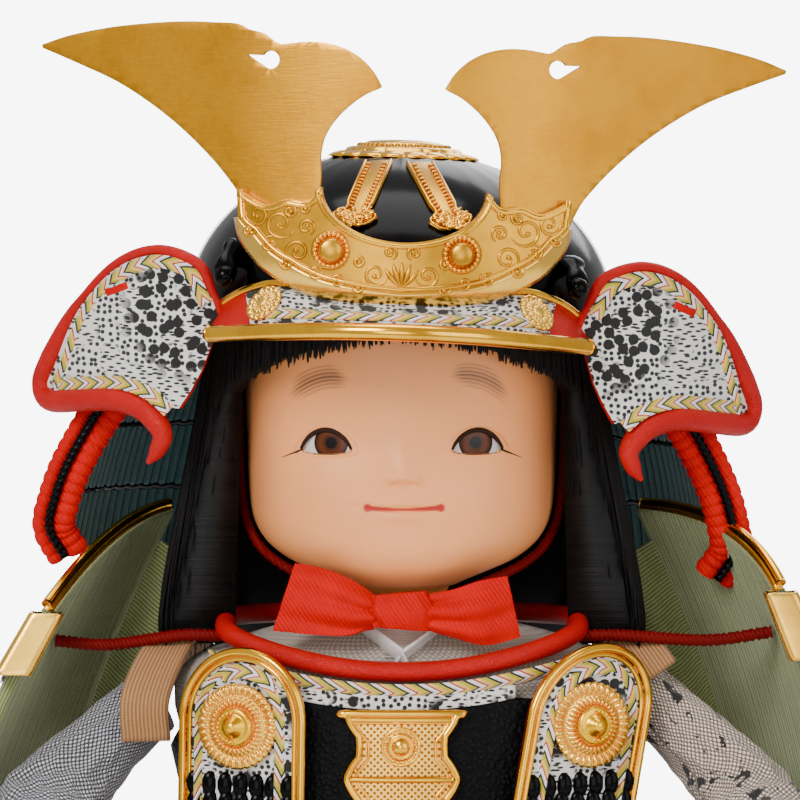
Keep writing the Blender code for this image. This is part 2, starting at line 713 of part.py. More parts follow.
def build_neck_guard(group):
    step = (GUARD_TOP[0] - GUARD_FOOT[0]) / len(GUARD_END_STEPS)
    for k, ends in enumerate(GUARD_END_STEPS):
        angles = np.radians(np.arange(-ends, ends + 1) * GUARD_STEP_DEG)
        top = GUARD_TOP[0] - k * step + (GUARD_LAP if k else 0)
        foot = GUARD_TOP[0] - (k + 1) * step
        outer, inner = [], []
        for a in angles:
            upper, lower = guard_point(a, top), guard_point(a, foot)
            out = np.array([math.sin(a), math.cos(a), 0.0])
            shift = out * (GUARD_LAP_SHIFT if k else 0.0)
            inner.append([upper + shift, lower])
            outer.append([upper + shift + out * GUARD_THICK, lower + out * GUARD_THICK])
        shell(f"neck_guard_{k + 1}", outer, inner, "lacing", group)


def build_chin_cord():
    for side, word in ((-1, "left"), (1, "right")):
        route = through([(90, 184.0), (90, 165.0), (90, 148.0), (88, 134.5), (80, 127.0), (66, 122.5),
                         (48, 119.2), (34, 117.0)], 2)
        path = []
        for deg, z in route:
            near = max(z, 119.0)
            p = around(HEAD_ROWS, HEAD_POWER, near, side * math.radians(deg), CORD_RADIUS + GAP + 0.15)
            p[2] = z - (0.0 if z > 134 else np.interp(z, (116, 134), (2.4, 0.6)))
            path.append(p)
        path.append(np.array([side * 6.0, BOW_Y + 4.9, 113.2]))
        tube(f"chin_cord_{word}", path, CORD_RADIUS, 6, "red")


def build_bow():
    """Two flat wings and a knot, as one ribbon: each row is x, top, bottom and half depth."""
    rows = ((-27.5, 119.0, 111.0, 1.4), (-23.0, 122.5, 109.0, 3.0), (-14.0, 119.2, 108.8, 4.2),
            (-8.6, 116.4, 109.8, 3.2), (-5.6, 116.6, 109.6, 4.2), (0.0, 116.4, 109.4, 5.0),
            (5.4, 116.6, 109.6, 4.2), (8.4, 116.2, 110.0, 3.2), (15.0, 119.4, 108.8, 4.2),
            (22.0, 121.0, 107.6, 3.0), (26.0, 117.0, 107.4, 1.4))
    rings = []
    for x, top, bottom, deep in rows:
        middle, half = (top + bottom) / 2, (top - bottom) / 2
        y = BOW_Y + 0.006 * x * x
        rings.append([(x, y + deep * math.cos(a), middle + half * math.sin(a)) for a in turns(10)])
    loft("chin_bow", rings, "red")


def build_torso():
    rings = [[around(TORSO_ROWS, TORSO_POWER, row[0], a) for a in turns(TORSO_SIDES)] for row in TORSO_ROWS]
    torso = loft("torso", rings, "cloth")
    neck = [[around(HEAD_ROWS, HEAD_POWER, 106.0, a, GAP) * (1, 1, 0) + np.array([0, 0, z])
             for a in turns(HEAD_SIDES)] for z in (104.0 - GAP, 120.0)]
    cut(torso, loft("neck_bore", neck, "cloth"))


def build_collar():
    """White under-collar: a standing band that crosses in front of the neck."""
    angles = np.radians(np.linspace(-150, 150, 17))
    outer, inner = [], []
    for a in angles:
        drop = 3.4 * max(0.0, math.cos(a)) ** 4
        low, high = 110.9, 115.2 - drop
        base = np.array(oval(13.5, -12.5, 15.0, 2.0, a))
        wall = np.array(oval(15.0, -14.0, 16.5, 2.0, a))
        inner.append([(*base, low), (*(base * 0.97), high)])
        outer.append([(*wall, low), (*(wall * 0.97), high)])
    shell("under_collar", outer, inner, "white")


def cuirass_top(angle):
    side = math.sin(angle) ** 4
    edge = CUIRASS_FRONT_Z if math.cos(angle) > 0 else CUIRASS_BACK_Z
    return edge + (CUIRASS_SIDE_Z - edge) * side


def build_cuirass():
    outer, inner = [], []
    for a in turns(TORSO_SIDES):
        top = cuirass_top(a)
        heights = (top, min(93.0, top - 1.5), min(84.0, top - 3.0), 62.0, CUIRASS_FOOT_Z)
        inner.append([around(TORSO_ROWS, TORSO_POWER, z, a, CUIRASS_GAP) for z in heights])
        outer.append([around(TORSO_ROWS, TORSO_POWER, z, a, CUIRASS_GAP + CUIRASS_WALL) for z in heights])
    shell("cuirass", outer, inner, "lacquer", wrap=True)


def build_neck_piping():
    """Rolled leather edge that rests on the cuirass in front and on the shoulders beside the neck."""
    path = []
    for a in turns(24):
        front = max(0.0, math.cos(a))
        z = 106.0 - 4.6 * front**2
        p = around(TORSO_ROWS, TORSO_POWER, z, a, PIPING_RADIUS * 0.8 + GAP)
        path.append(p + np.array([0, 0, PIPING_RADIUS * 0.8]))
    tube("neck_piping", path, PIPING_RADIUS, 6, "red", closed=True)


def cuirass_front_y(x, z, out):
    """Depth of the cuirass's front at the given x, moved outward."""
    half, front, back = row_at(TORSO_ROWS, z)
    grow = CUIRASS_GAP + CUIRASS_WALL + out
    half, front, back = half + grow, front - grow, back + grow
    reach = (back - front) / 2
    return (front + back) / 2 - reach * (1 - (abs(x) / half) ** TORSO_POWER) ** (1 / TORSO_POWER)


def build_plaque():
    """Hourglass plate on the chest, bent to the cuirass."""
    zs = np.linspace(*PLAQUE_Z, 9)
    outer, inner = [], []
    for z in zs:
        t = (z - PLAQUE_Z[0]) / (PLAQUE_Z[1] - PLAQUE_Z[0])
        half = PLAQUE_WAIST + (PLAQUE_HALF - PLAQUE_WAIST) * abs(2 * t - 1) ** 1.5
        xs = np.linspace(-half, half, 5)
        inner.append([(x, cuirass_front_y(x, z, GAP), z) for x in xs])
        outer.append([(x, cuirass_front_y(x, z, GAP + PLAQUE_THICK), z) for x in xs])
    shell("chest_plaque", outer, inner, "gold")


def breast_bend(x):
    return BREAST_BEND * x * x


def build_breast_plates():
    for (foot_x, top_x, top_z, half), word in ((BREAST_LEFT, "left"), (BREAST_RIGHT, "right")):
        def place(x, z):
            lean = (top_x - foot_x) * (z - BREAST_FOOT_Z) / (top_z - BREAST_FOOT_Z)
            return foot_x + lean + x, z
        arch_z = top_z - half * 1.15
        arc = [(half * math.cos(a), arch_z + half * 1.15 * math.sin(a)) for a in np.linspace(0, math.pi, 11)]
        edge = [(half, BREAST_FOOT_Z), *[(half, z) for z in (76.0,)], *arc, *[(-half, z) for z in (76.0,)],
                (-half, BREAST_FOOT_Z)]
        outline = [place(x, z) for x, z in edge]
        xs = [p[0] for p in outline]
        stations = np.linspace(min(xs) - 1, max(xs) + 1, 7)
        plate(f"breast_plate_{word}", outline, BREAST_FRONT_Y, BREAST_THICK, breast_bend, stations, "brocade")
        cx, cz = place(-0.2, 88.8)
        slope = 2 * BREAST_BEND * cx
        normal = np.array([slope, -1.0, 0.0]) / math.hypot(slope, 1.0)
        base = np.array([cx, BREAST_FRONT_Y + breast_bend(cx), cz]) + normal * (GAP + 0.4)
        profile = ((ROSETTE_RADIUS, 0), (ROSETTE_RADIUS, 0.9), (4.6, 1.4), (4.2, ROSETTE_HEIGHT), (2.4, ROSETTE_HEIGHT + 0.7))
        lathe(f"rosette_{word}", profile, base, normal, 16, "gold")


def build_shoulders():
    for side, word in ((-1, "left"), (1, "right")):
        over = [(52.0, -9.0, 104.6), (48.5, 0.0, 105.6), (48.5, 12.0, 103.6), (50.0, 23.0, 96.0)]
        front = [(57.0, -17.4, 84.0), (57.0, -17.2, 94.0)] if side < 0 else [(57.0, -12.6, 98.2)]
        path = through(front + over, 2)
        facing = [(0.2, -0.6, 1), (0.2, 0, 1), (0.2, 0.4, 1), (0.2, 1, 0.4)]
        normals = through([(0.1, -1, 0.1)] * len(front) + facing, 2)
        band(f"shoulder_strap_{word}", path * (side, 1, 1), normals * (side, 1, 1), *STRAP_BAND, "satin")
        end = guard_plate_point(side, 0.34, 0.12, -SHOULDER_CORD_RADIUS / 2 - GAP) * (side, 1, 1)
        lift = SHOULDER_CORD_RADIUS + GAP
        cord = through([(45.0, -9.4, 107.6 + lift), (52.0, -9.2, 106.9 + lift), (end + (54.0, -9.2, 111.0)) / 2, end], 3)
        tube(f"shoulder_cord_{word}", cord * (side, 1, 1), SHOULDER_CORD_RADIUS, 6, "red")
        sleeve = through(SLEEVE_PATH, 2)
        radii = through([(r, 0, 0) for r in SLEEVE_RADII], 2)[:, 0]
        tube(f"sleeve_{word}", sleeve * (side, 1, 1), radii, SLEEVE_SIDES, "brocade")
        last, before = sleeve[-1], sleeve[-2]
        way = (last - before) / np.linalg.norm(last - before)
        hand = [last + way * (GAP + 0.1 + HAND_LENGTH * t) for t in (0, 0.3, 0.65, 0.9, 1.0)]
        tube(f"hand_{word}", np.array(hand) * (side, 1, 1), (5.0, 6.6, 7.0, 5.4, 3.0), 8, "skin")


def guard_plate_point(side, u, v, out):
    """A point of the shoulder guard: u runs front to back, v from the crown edge down."""
    top = np.array(GUARD_PLATE_TOP[side], float)
    hem = np.array(GUARD_PLATE_HEM, float) * (side, 1, 1)
    def blend(rows):
        return rows[0] * (1 - u) * (1 - 2 * u) + rows[1] * 4 * u * (1 - u) + rows[2] * u * (2 * u - 1)
    p = blend(top) * (1 - v) + blend(hem) * v
    away = np.array([side * 0.80, -0.05 + 0.62 * u, 0.30 - 0.1 * v])
    away /= np.linalg.norm(away)
    return p + away * (out + 2.5 * math.sin(math.pi * v))


def build_shoulder_guards():
    us = np.linspace(0, 1, 7)
    for side, word in ((-1, "left"), (1, "right")):
        crown_v = np.linspace(0.02, GUARD_CROWN_SHARE, 3)
        inner = [[guard_plate_point(side, u, v, 0) for v in crown_v] for u in us]
        outer = [[guard_plate_point(side, u, v, GUARD_PLATE_THICK) for v in crown_v] for u in us]
        shell(f"guard_crown_{word}", outer, inner, "gold")
        panel_v, depths = [], []
        start = GUARD_CROWN_SHARE + 0.012
        for k in range(GUARD_ROWS):
            step = (1 - start) / GUARD_ROWS
            panel_v += [start + k * step, start + (k + 0.94) * step]
            depths += [0.6, 2.0]
        inner = [[guard_plate_point(side, u, v, 0) for v in panel_v] for u in us]
        outer = [[guard_plate_point(side, u, v, 1.4 + d) for v, d in zip(panel_v, depths)] for u in us]
        shell(f"guard_panel_{word}", outer, inner, "lacing")
        base = guard_plate_point(side, 0.0, 0.03, GUARD_PLATE_THICK / 2)
        foot = guard_plate_point(side, 0.0, 0.3, GUARD_PLATE_THICK / 2)
        rings = []
        for y, grow in ((-0.8, 1.0), (-8.0, 1.0)):
            corners = []
            for p, x in ((base, 3.0), (base, -3.0), (foot, -3.6), (foot, 3.6)):
                corners.append(p + np.array([x * grow, y, 0.0]))
            rings.append(corners)
        loft(f"guard_end_{word}", rings, "gold")


def build_lower_body():
    rings = [[around(TROUSER_ROWS, TROUSER_POWER, row[0], a) for a in turns(24)] for row in TROUSER_ROWS]
    loft("trousers", rings, "brocade")
    wide, long, tall = BOOT_SIZE
    for side, word in ((-1, "left"), (1, "right")):
        rings = []
        for y, w, h in ((0, 0.8, 1.0), (0.32, 0.95, 0.95), (0.7, 1.0, 0.7), (1.0, 0.55, 0.45)):
            ring = [(side * BOOT_X + wide / 2 * w * math.cos(a), BOOT_HEEL_Y - long * y,
                     tall * h / 2 * (1 + math.sin(a))) for a in turns(12)]
            rings.append([(px, py, pz if pz > tall * h / 4 else 0.0) for px, py, pz in ring])
        loft(f"boot_{word}", rings, "lacquer")
    for centre, spread, word in ((0, 30, "front"), (90, 27, "right"), (180, 30, "back"), (270, 27, "left")):
        outer, inner = [], []
        for a in np.radians(np.linspace(centre - spread, centre + spread, 6)):
            rows_in, rows_out = [], []
            for z, out in ((TASSET_TOP_Z, 0.0), (46.0, 5.5), (40.5, 11.5), (34.5, 22.0)):
                for rows, grow in ((rows_in, out), (rows_out, out + TASSET_THICK)):
                    rows.append((*oval(TASSET_HALF + grow, TASSET_FRONT_Y - grow, TASSET_BACK_Y + grow,
                                       TORSO_POWER, a), z))
            inner.append(rows_in)
            outer.append(rows_out)
        shell(f"tasset_{word}", outer, inner, "lacing")


def main():
    clear_scene()
    helmet = helmet_group()
    build_head()
    build_wig()
    build_bowl(helmet)
    build_crown_ring(helmet)
    build_bowl_straps(helmet)
    build_visor(helmet)
    build_crest_base(helmet)
    build_horns(helmet)
    build_flaps(helmet)
    build_brackets(helmet)
    build_neck_guard(helmet)
    build_chin_cord()
    build_bow()
    build_torso()
    build_collar()
    build_cuirass()
    build_neck_piping()
    build_plaque()
    build_breast_plates()
    build_shoulders()
    build_shoulder_guards()
    build_lower_body()


main()
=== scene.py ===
"""Looks of a seated warrior doll: lacquered helmet with gilt horns, laced armour, brocade sleeves and a painted face.

Every piece is worked out in millimetres and set into its mesh in metres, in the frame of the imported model.
"""

import logging
import math
from collections.abc import Sequence
from dataclasses import dataclass, field
from enum import Enum
from typing import Any

import bmesh
import bpy
import numpy as np
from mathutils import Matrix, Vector


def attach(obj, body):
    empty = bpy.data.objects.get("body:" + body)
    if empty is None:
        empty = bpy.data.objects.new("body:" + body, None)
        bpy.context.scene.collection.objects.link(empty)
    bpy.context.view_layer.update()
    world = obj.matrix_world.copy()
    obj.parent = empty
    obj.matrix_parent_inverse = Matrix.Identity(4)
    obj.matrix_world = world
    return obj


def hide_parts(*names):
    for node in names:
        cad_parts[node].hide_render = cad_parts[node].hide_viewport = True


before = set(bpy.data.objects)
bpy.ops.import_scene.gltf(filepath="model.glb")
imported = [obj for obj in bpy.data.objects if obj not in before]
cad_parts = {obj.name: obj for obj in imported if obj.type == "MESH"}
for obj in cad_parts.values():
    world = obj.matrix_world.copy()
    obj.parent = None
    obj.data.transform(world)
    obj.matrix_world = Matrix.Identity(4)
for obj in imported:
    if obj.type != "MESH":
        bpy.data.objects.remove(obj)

LOG = logging.getLogger("doll")
MM = 0.001
BODY = "root"
SIDES = ((-1, "left"), (1, "right"))
AHEAD = (0.0, -1.0, 0.0)
DIAGONAL = (0.0, 0.0, 0.785)
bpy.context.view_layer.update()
Array = np.ndarray
Socket = Any
Bit = tuple[Array, list[list[int]]]


# Colour and node helpers


def linear(colour: str) -> tuple[float, float, float, float]:
    """Turn an sRGB hex colour such as "C9A35A" into a linear one with full alpha."""
    parts = [int(colour[k : k + 2], 16) / 255 for k in (0, 2, 4)]
    return (*[c / 12.92 if c <= 0.04045 else ((c + 0.055) / 1.055) ** 2.4 for c in parts], 1.0)


class Graph:
    """The node tree of one material, around its Principled shader."""

    def __init__(self, name: str) -> None:
        """Make the material and find its shader.

        Args:
            name: the material's name.
        """
        self.material = bpy.data.materials.new(name)
        self.material.use_nodes = True
        self.tree = self.material.node_tree
        self.shader = self.tree.nodes["Principled BSDF"]

    def add(self, kind: str, inputs: dict[Any, Any] | None = None, out: Any = 0, **settings: Any) -> Socket:
        """Add a node, set what it holds and link what is given as a socket.

        Args:
            kind: the node's type, without its "ShaderNode" start.
            inputs: value or socket for each input, by name or place.
            out: name or place of the output that is wanted.
            **settings: properties of the node; stops fills a colour ramp with (place, colour) pairs.

        Returns:
            The output socket.
        """
        node = self.tree.nodes.new("ShaderNode" + kind)
        stops = settings.pop("stops", None)
        for key, value in settings.items():
            setattr(node, key, value)
        if stops:
            ramp = node.color_ramp
            while len(ramp.elements) < len(stops):
                ramp.elements.new(0.5)
            for element, (place, colour) in zip(ramp.elements, stops):
                element.position = place
                element.color = linear(colour) if isinstance(colour, str) else (colour, colour, colour, 1.0)
        for key, value in (inputs or {}).items():
            socket = node.inputs[key]
            if isinstance(value, bpy.types.NodeSocket):
                self.tree.links.new(value, socket)
            elif isinstance(value, str):
                socket.default_value = linear(value)
            else:
                socket.default_value = value
        return node.outputs[out]

    def set(self, **values: Any) -> None:
        """Set or link the shader's own inputs; an underscore in a name stands for a space."""
        for key, value in values.items():
            socket = self.shader.inputs[key.replace("_", " ")]
            if isinstance(value, bpy.types.NodeSocket):
                self.tree.links.new(value, socket)
            else:
                socket.default_value = linear(value) if isinstance(value, str) else value

    def ramp(self, place: Socket, *stops: tuple[float, Any], step: bool = False) -> Socket:
        """Colour or grey by place along the stops, in steps or blended."""
        output = self.add("ValToRGB", {0: place}, stops=stops)
        output.node.color_ramp.interpolation = "CONSTANT" if step else "LINEAR"
        return output

    def calc(self, operation: str, *values: Any) -> Socket:
        """Work out one step of arithmetic on sockets or numbers."""
        return self.add("Math", dict(enumerate(values)), operation=operation)

    def span(self, share: Socket, low: float, high: float) -> Socket:
        """Take 0..1 to low..high."""
        return self.add("MapRange", {0: share, 3: low, 4: high})

    def toned(self, colour: Any, share: Socket, low: float, high: float) -> Socket:
        """Darken or lighten a colour: its value goes from low to high times its own as share goes from 0 to 1."""
        return self.add("HueSaturation", {"Color": colour, "Value": self.span(share, low, high)})

    def mix(self, share: Socket, one: Any, two: Any) -> Socket:
        """Mix two colours; all is the first one at share 0."""
        return self.add("Mix", {0: share, 6: one, 7: two}, out=2, data_type="RGBA")

    def noise(self, where: Socket, scale: float, detail: float, roughness: float = 0.5) -> Socket:
        """Soft noise between 0 and 1."""
        return self.add("TexNoise", {"Vector": where, "Scale": scale, "Detail": detail, "Roughness": roughness})

    def wave(self, bands: str, where: Socket, scale: float, distortion: float, detail: float = 2.0) -> Socket:
        """Wavy bands that follow each other along X or Y."""
        inputs = {"Vector": where, "Scale": scale, "Distortion": distortion, "Detail": detail}
        return self.add("TexWave", inputs, bands_direction=bands)

    def cells(self, where: Socket, scale: float, randomness: float) -> Socket:
        """Distance on the UV plane to the nearest of many points; randomness 0 sets them on a square lattice."""
        inputs = {"Vector": where, "Scale": scale, "Randomness": randomness}
        return self.add("TexVoronoi", inputs, voronoi_dimensions="2D")

    def emboss(self, height: Socket, depth_mm: float, under: Socket | None = None) -> Socket:
        """Give the shader a bump of the height, in mm, over an earlier one if given; returns the normal."""
        inputs = {"Height": height, "Distance": depth_mm * MM, "Strength": 1.0}
        if under is not None:
            inputs["Normal"] = under
        normal = self.add("Bump", inputs)
        self.set(Normal=normal)
        return normal


# Finishes: each is named for the real material and what it gives the eye


class MetalWork(Enum):
    """How a gilt surface was worked."""

    BRUSHED = "brushed"
    POLISHED = "polished"
    PIERCED = "pierced"


@dataclass(frozen=True)
class Finish:
    """A finish: a material name, the record's slot and a colour."""

    name: str
    slot: str
    colour: str

    def material(self) -> bpy.types.Material:
        """Return the material, made once.

        Returns:
            The material of this finish.
        """
        found = bpy.data.materials.get(self.name)
        if found is None:
            graph = Graph(self.name)
            self.paint(graph)
            found = graph.material
        return found

    def paint(self, graph: Graph) -> None:
        """Set the nodes; each finish has its own."""
        graph.set(Base_Color=self.colour)


@dataclass(frozen=True)
class Gilding(Finish):
    """Gilt brass or zinc: warm metal whose tone and gloss vary, with tarnish in soft patches."""

    shade: str = "8A6226"
    rough: float = 0.34
    work: MetalWork = MetalWork.POLISHED

    def paint(self, graph: Graph) -> None:
        """Tone from slow noise, gloss from fine noise, and the marks of the tool as bump."""
        coords = graph.add("TexCoord", out="Object")
        cloud = graph.noise(coords, 90.0, 4.0)
        tone = graph.ramp(cloud, (0.2, self.shade), (0.55, self.colour))
        fine = graph.noise(coords, 900.0, 5.0, 0.7)
        gloss = graph.span(fine, self.rough * 0.75, self.rough * 1.35)
        graph.set(Base_Color=tone, Metallic=1.0, Roughness=gloss)
        if self.work is MetalWork.BRUSHED:
            # Sheet brushed along its length: streaks 0.1 mm apart, drawn at 0.35 mm so that they show.
            turn, scale = (0.0, 0.35, 0.0), (260.0, 260.0, 2800.0)
            long = graph.add("Mapping", {"Vector": coords, "Rotation": turn, "Scale": scale})
            streak = graph.noise(long, 1.0, 3.0)
            graph.emboss(streak, 0.03)
        elif self.work is MetalWork.PIERCED:
            # Round holes on a 1.5 mm lattice: sunk by the bump and coloured a darker gold, which is painted shade in
            # the pits.
            turned = graph.add("Mapping", {"Vector": graph.add("UVMap"), "Rotation": DIAGONAL})
            grid = graph.cells(turned, 0.95, 0.0)
            pits = graph.ramp(grid, (0.22, 0.0), (0.32, 1.0))
            dark = graph.mix(pits, "9A5E0C", tone)
            graph.set(Base_Color=dark)
            graph.emboss(pits, 0.35)
        else:
            graph.emboss(fine, 0.012)


@dataclass(frozen=True)
class Lacquer(Finish):
    """Urushi-style lacquer: deep gloss over black, with faint ripples, or pebbled like shark skin."""

    rough: float = 0.09
    pebble_mm: float = 0.0

    def paint(self, graph: Graph) -> None:
        """Dark base under a clear coat; pebbles are rounded cells of the given size."""
        coords = graph.add("TexCoord", out="Object")
        ripple = graph.noise(coords, 60.0, 2.0)
        gloss = graph.span(ripple, self.rough, self.rough * 1.8)
        graph.set(Base_Color=self.colour, Roughness=gloss, Specular_IOR_Level=0.08)
        graph.set(Coat_Weight=0.02, Coat_Roughness=0.05)
        normal = graph.emboss(ripple, 0.05)
        if self.pebble_mm:
            cells = graph.add("TexVoronoi", {"Vector": coords, "Scale": 1 / (self.pebble_mm * MM)})
            round_top = graph.ramp(cells, (0.0, 1.0), (0.55, 0.15), (0.8, 0.0))
            # Pebble tops are painted lighter than the gaps between them: painted highlight on the tops, painted shade
            # in the gaps.
            tone = graph.ramp(cells, (0.0, "141416"), (0.5, self.colour))
            graph.set(Base_Color=tone)
            graph.emboss(round_top, 0.35, normal)


@dataclass(frozen=True)
class Leather(Finish):
    """Dyed smoked leather: matt, finely creased, a little darker in its creases."""

    grain_mm: float = 0.5

    def paint(self, graph: Graph) -> None:
        """Cell-like creases from a fine Voronoi pattern over slow colour change."""
        coords = graph.add("TexCoord", out="Object")
        slow = graph.noise(coords, 140.0, 4.0)
        tone = graph.toned(self.colour, slow, 0.75, 1.2)
        inputs = {"Vector": coords, "Scale": 1 / (self.grain_mm * MM)}
        cells = graph.add("TexVoronoi", inputs, feature="DISTANCE_TO_EDGE")
        crease = graph.ramp(cells, (0.0, 0.0), (0.25, 1.0))
        graph.set(Base_Color=tone, Roughness=0.42, Specular_IOR_Level=0.22)
        graph.emboss(crease, 0.08)


@dataclass(frozen=True)
class Braid(Finish):
    """Plaited silk edging: slanted stitches in several colours that meet in a point along the middle."""

    stops: tuple[tuple[float, str], ...] = (
        (0.0, "060505"), (0.08, "F8F4F4"), (0.34, "B80404"), (0.45, "EFC060"), (0.67, "C0AE18"), (0.93, "060505"),
    )
    stitch_mm: float = 5.2
    slant: float = 1.7

    def paint(self, graph: Graph) -> None:
        """Colour by distance along the braid plus slant times the distance from its middle, in mm."""
        where = graph.add("UVMap")
        u = graph.add("SeparateXYZ", {0: where})
        v = u.node.outputs[1]
        away = graph.calc("ABSOLUTE", v)
        along = graph.calc("MULTIPLY_ADD", away, self.slant, u)
        turn = graph.calc("FRACT", graph.calc("DIVIDE", along, self.stitch_mm))
        tone = graph.ramp(turn, *self.stops, step=True)
        bump = graph.ramp(turn, (0.0, 0.0), (0.2, 1.0), (0.38, 0.3), (0.6, 1.0), (0.8, 0.8), (0.97, 0.0))
        threads = graph.noise(where, 6.0, 3.0)
        mixed = graph.toned(tone, threads, 0.75, 1.2)
        graph.set(Base_Color=mixed, Roughness=0.7, Sheen_Weight=0.25)
        graph.emboss(bump, 0.35, graph.emboss(threads, 0.08))


@dataclass(frozen=True)
class PrintedCloth(Finish):
    """Pale cloth printed with small dark dots, dashes and larger blots, on a plain weave."""

    ink: str = "17161A"
    spot_mm: float = 1.5
    blot_at: tuple[float, float, float] | None = None

    def paint(self, graph: Graph) -> None:
        """Dots where a cell's middle is near; dashes where a stretched cell's middle is near."""
        where = graph.add("UVMap")
        dots = graph.cells(where, 1 / self.spot_mm, 0.55)
        dot = graph.ramp(dots, (0.28, 0.0), (0.36, 1.0))
        flat = graph.add("Mapping", {"Vector": where, "Rotation": (0.0, 0.0, 0.5), "Scale": (0.42, 1.15, 1.0)})
        dashes = graph.cells(flat, 1.0, 0.8)
        dash = graph.ramp(dashes, (0.26, 0.0), (0.33, 1.0))
        region = graph.noise(where, 0.12, 0.0)
        choice = graph.ramp(region, (0.5, 0.0), (0.54, 1.0))
        marks = graph.add("Mix", {0: choice, 2: dot, 3: dash})
        cloth = graph.mix(marks, self.ink, self.colour)
        blots = graph.cells(where, 0.32, 0.85)
        if self.blot_at is None:
            near = graph.ramp(graph.noise(where, 0.11, 0.0), (0.45, 0.0), (0.55, 1.0))
        else:
            parts = graph.add("SeparateXYZ", {0: where})
            flat_x = graph.calc("ABSOLUTE", parts)
            spot = graph.add("CombineXYZ", {0: flat_x, 1: parts.node.outputs[1]})
            at_x, at_z, reach = self.blot_at
            gone = graph.add("VectorMath", {0: spot, 1: (at_x, at_z, 0.0)}, out="Value", operation="DISTANCE")
            near = graph.add("MapRange", {0: gone, 1: reach, 2: reach * 0.7})
        mask = graph.calc("MULTIPLY", graph.ramp(blots, (0.36, 1.0), (0.42, 0.0)), near)
        cloth = graph.mix(mask, cloth, "0C0708")
        weave = graph.wave("X", where, 0.9, 0.6)
        cross = graph.wave("Y", where, 1.6, 0.6)
        thread = graph.calc("MULTIPLY", weave, cross)
        graph.set(Base_Color=cloth, Roughness=0.85, Sheen_Weight=0.15)
        graph.emboss(thread, 0.1)


@dataclass(frozen=True)
class SilkLacing(Finish):
    """Laced silk cord: bright ridges, with painted shade where the cords meet and between the threads."""

    # Colour of the painted shade in the grooves between cords and between threads.
    shade: str = "1A0505"
    pitch_mm: float = 2.4
    slant: float = 0.9

    def paint(self, graph: Graph) -> None:
        """Plaited threads slanting both ways inside each cord; painted shade at cord edges by the UV across, and
        between the threads.
        """
        where = graph.add("UVMap")
        u = graph.add("SeparateXYZ", {0: where})
        v = u.node.outputs[1]
        cord = graph.calc("PINGPONG", u, self.pitch_mm)
        ridge = graph.calc("PINGPONG", cord, self.pitch_mm / 2)
        along = graph.calc("MULTIPLY_ADD", ridge, self.slant, v)
        thread = graph.calc("FRACT", graph.calc("DIVIDE", along, 0.8))
        line = graph.ramp(thread, (0.0, 0.0), (0.3, 1.0), (0.8, 0.8), (1.0, 0.0))
        noise = graph.noise(where, 2.2, 3.0)
        edge = graph.ramp(graph.calc("DIVIDE", ridge, self.pitch_mm / 2), (0.03, 0.0), (0.3, 1.0))
        blend = graph.calc("MULTIPLY", graph.span(line, 0.62, 1.0), edge)
        vary = graph.calc("MULTIPLY", blend, graph.span(noise, 0.7, 1.15))
        # Painted shade: the shade colour fills the cord edges and the gaps between threads.
        tone = graph.mix(vary, self.shade, self.colour)
        graph.set(Base_Color=tone, Roughness=0.75, Sheen_Weight=0.3)
        graph.emboss(blend, 0.4)


class Weave(Enum):
    """Figures of a woven cloth."""

    PLAIN = "plain"
    RIBBED = "ribbed"
    DOTTED = "dotted"
    SCATTERED = "scattered"
    DAMASK = "damask"


@dataclass(frozen=True)
class Cloth(Finish):
    """Woven cloth with a figure: ribs, fine dots, scattered scraps or a damask ground."""

    # Figure colour; in ribbed cloth it fills the rib valleys as painted shade.
    second: str = "3A3836"
    rib_mm: float = 0.9
    weave: Weave = Weave.PLAIN
    shine: float = 0.0

    def dots(self, graph: Graph, where: bpy.types.NodeSocket) -> bpy.types.NodeSocket:
        """Square lattice of dots, rib_mm apart and turned by 45 degrees."""
        turned = graph.add("Mapping", {"Vector": where, "Rotation": DIAGONAL})
        cells = graph.cells(turned, 1 / self.rib_mm, 0.0)
        return graph.ramp(cells, (0.26, 1.0), (0.42, 0.0))

    def paint(self, graph: Graph) -> None:
        """Thread bump from two crossed waves, with the figure mixed in by its own mask."""
        where = graph.add("UVMap")
        scale = 0.16 / self.rib_mm
        warp = graph.wave("Y", where, scale * 2, 0.5, 1.0)
        weft = graph.wave("X", where, scale * 3.3, 1.2, 2.0)
        noise = graph.noise(where, 0.8, 5.0, 0.7)
        height = graph.calc("MULTIPLY", warp, graph.span(weft, 0.55, 1.0))
        mask = graph.ramp(noise, (0.42, 0.0), (0.6, 1.0))
        if self.weave is Weave.RIBBED:
            # Ribbed: the rib valleys take the second colour, painted shade in the grooves.
            mask = graph.ramp(height, (0.1, 1.0), (0.65, 0.0))
        elif self.weave in (Weave.DOTTED, Weave.SCATTERED):
            mask = self.dots(graph, where)
        elif self.weave is Weave.DAMASK:
            warped = graph.add("TexNoise", {"Vector": where, "Scale": 0.2, "Detail": 2.0, "Distortion": 1.6})
            mask = graph.ramp(graph.calc("SINE", warped), (0.45, 0.0), (0.55, 1.0))
        tone = graph.mix(mask, self.colour, self.second)
        aged = graph.toned(tone, noise, 0.86, 1.12)
        if self.weave is Weave.SCATTERED:
            warped = graph.add("TexNoise", {"Vector": where, "Scale": 0.2, "Detail": 3.0, "Distortion": 1.2})
            scrap = graph.ramp(warped, (0.605, 0.0), (0.62, 1.0))
            aged = graph.mix(scrap, aged, "14110F")
        graph.set(Base_Color=aged, Roughness=0.75 - 0.3 * self.shine, Metallic=self.shine * 0.6, Sheen_Weight=0.2)
        graph.emboss(height, 0.22)


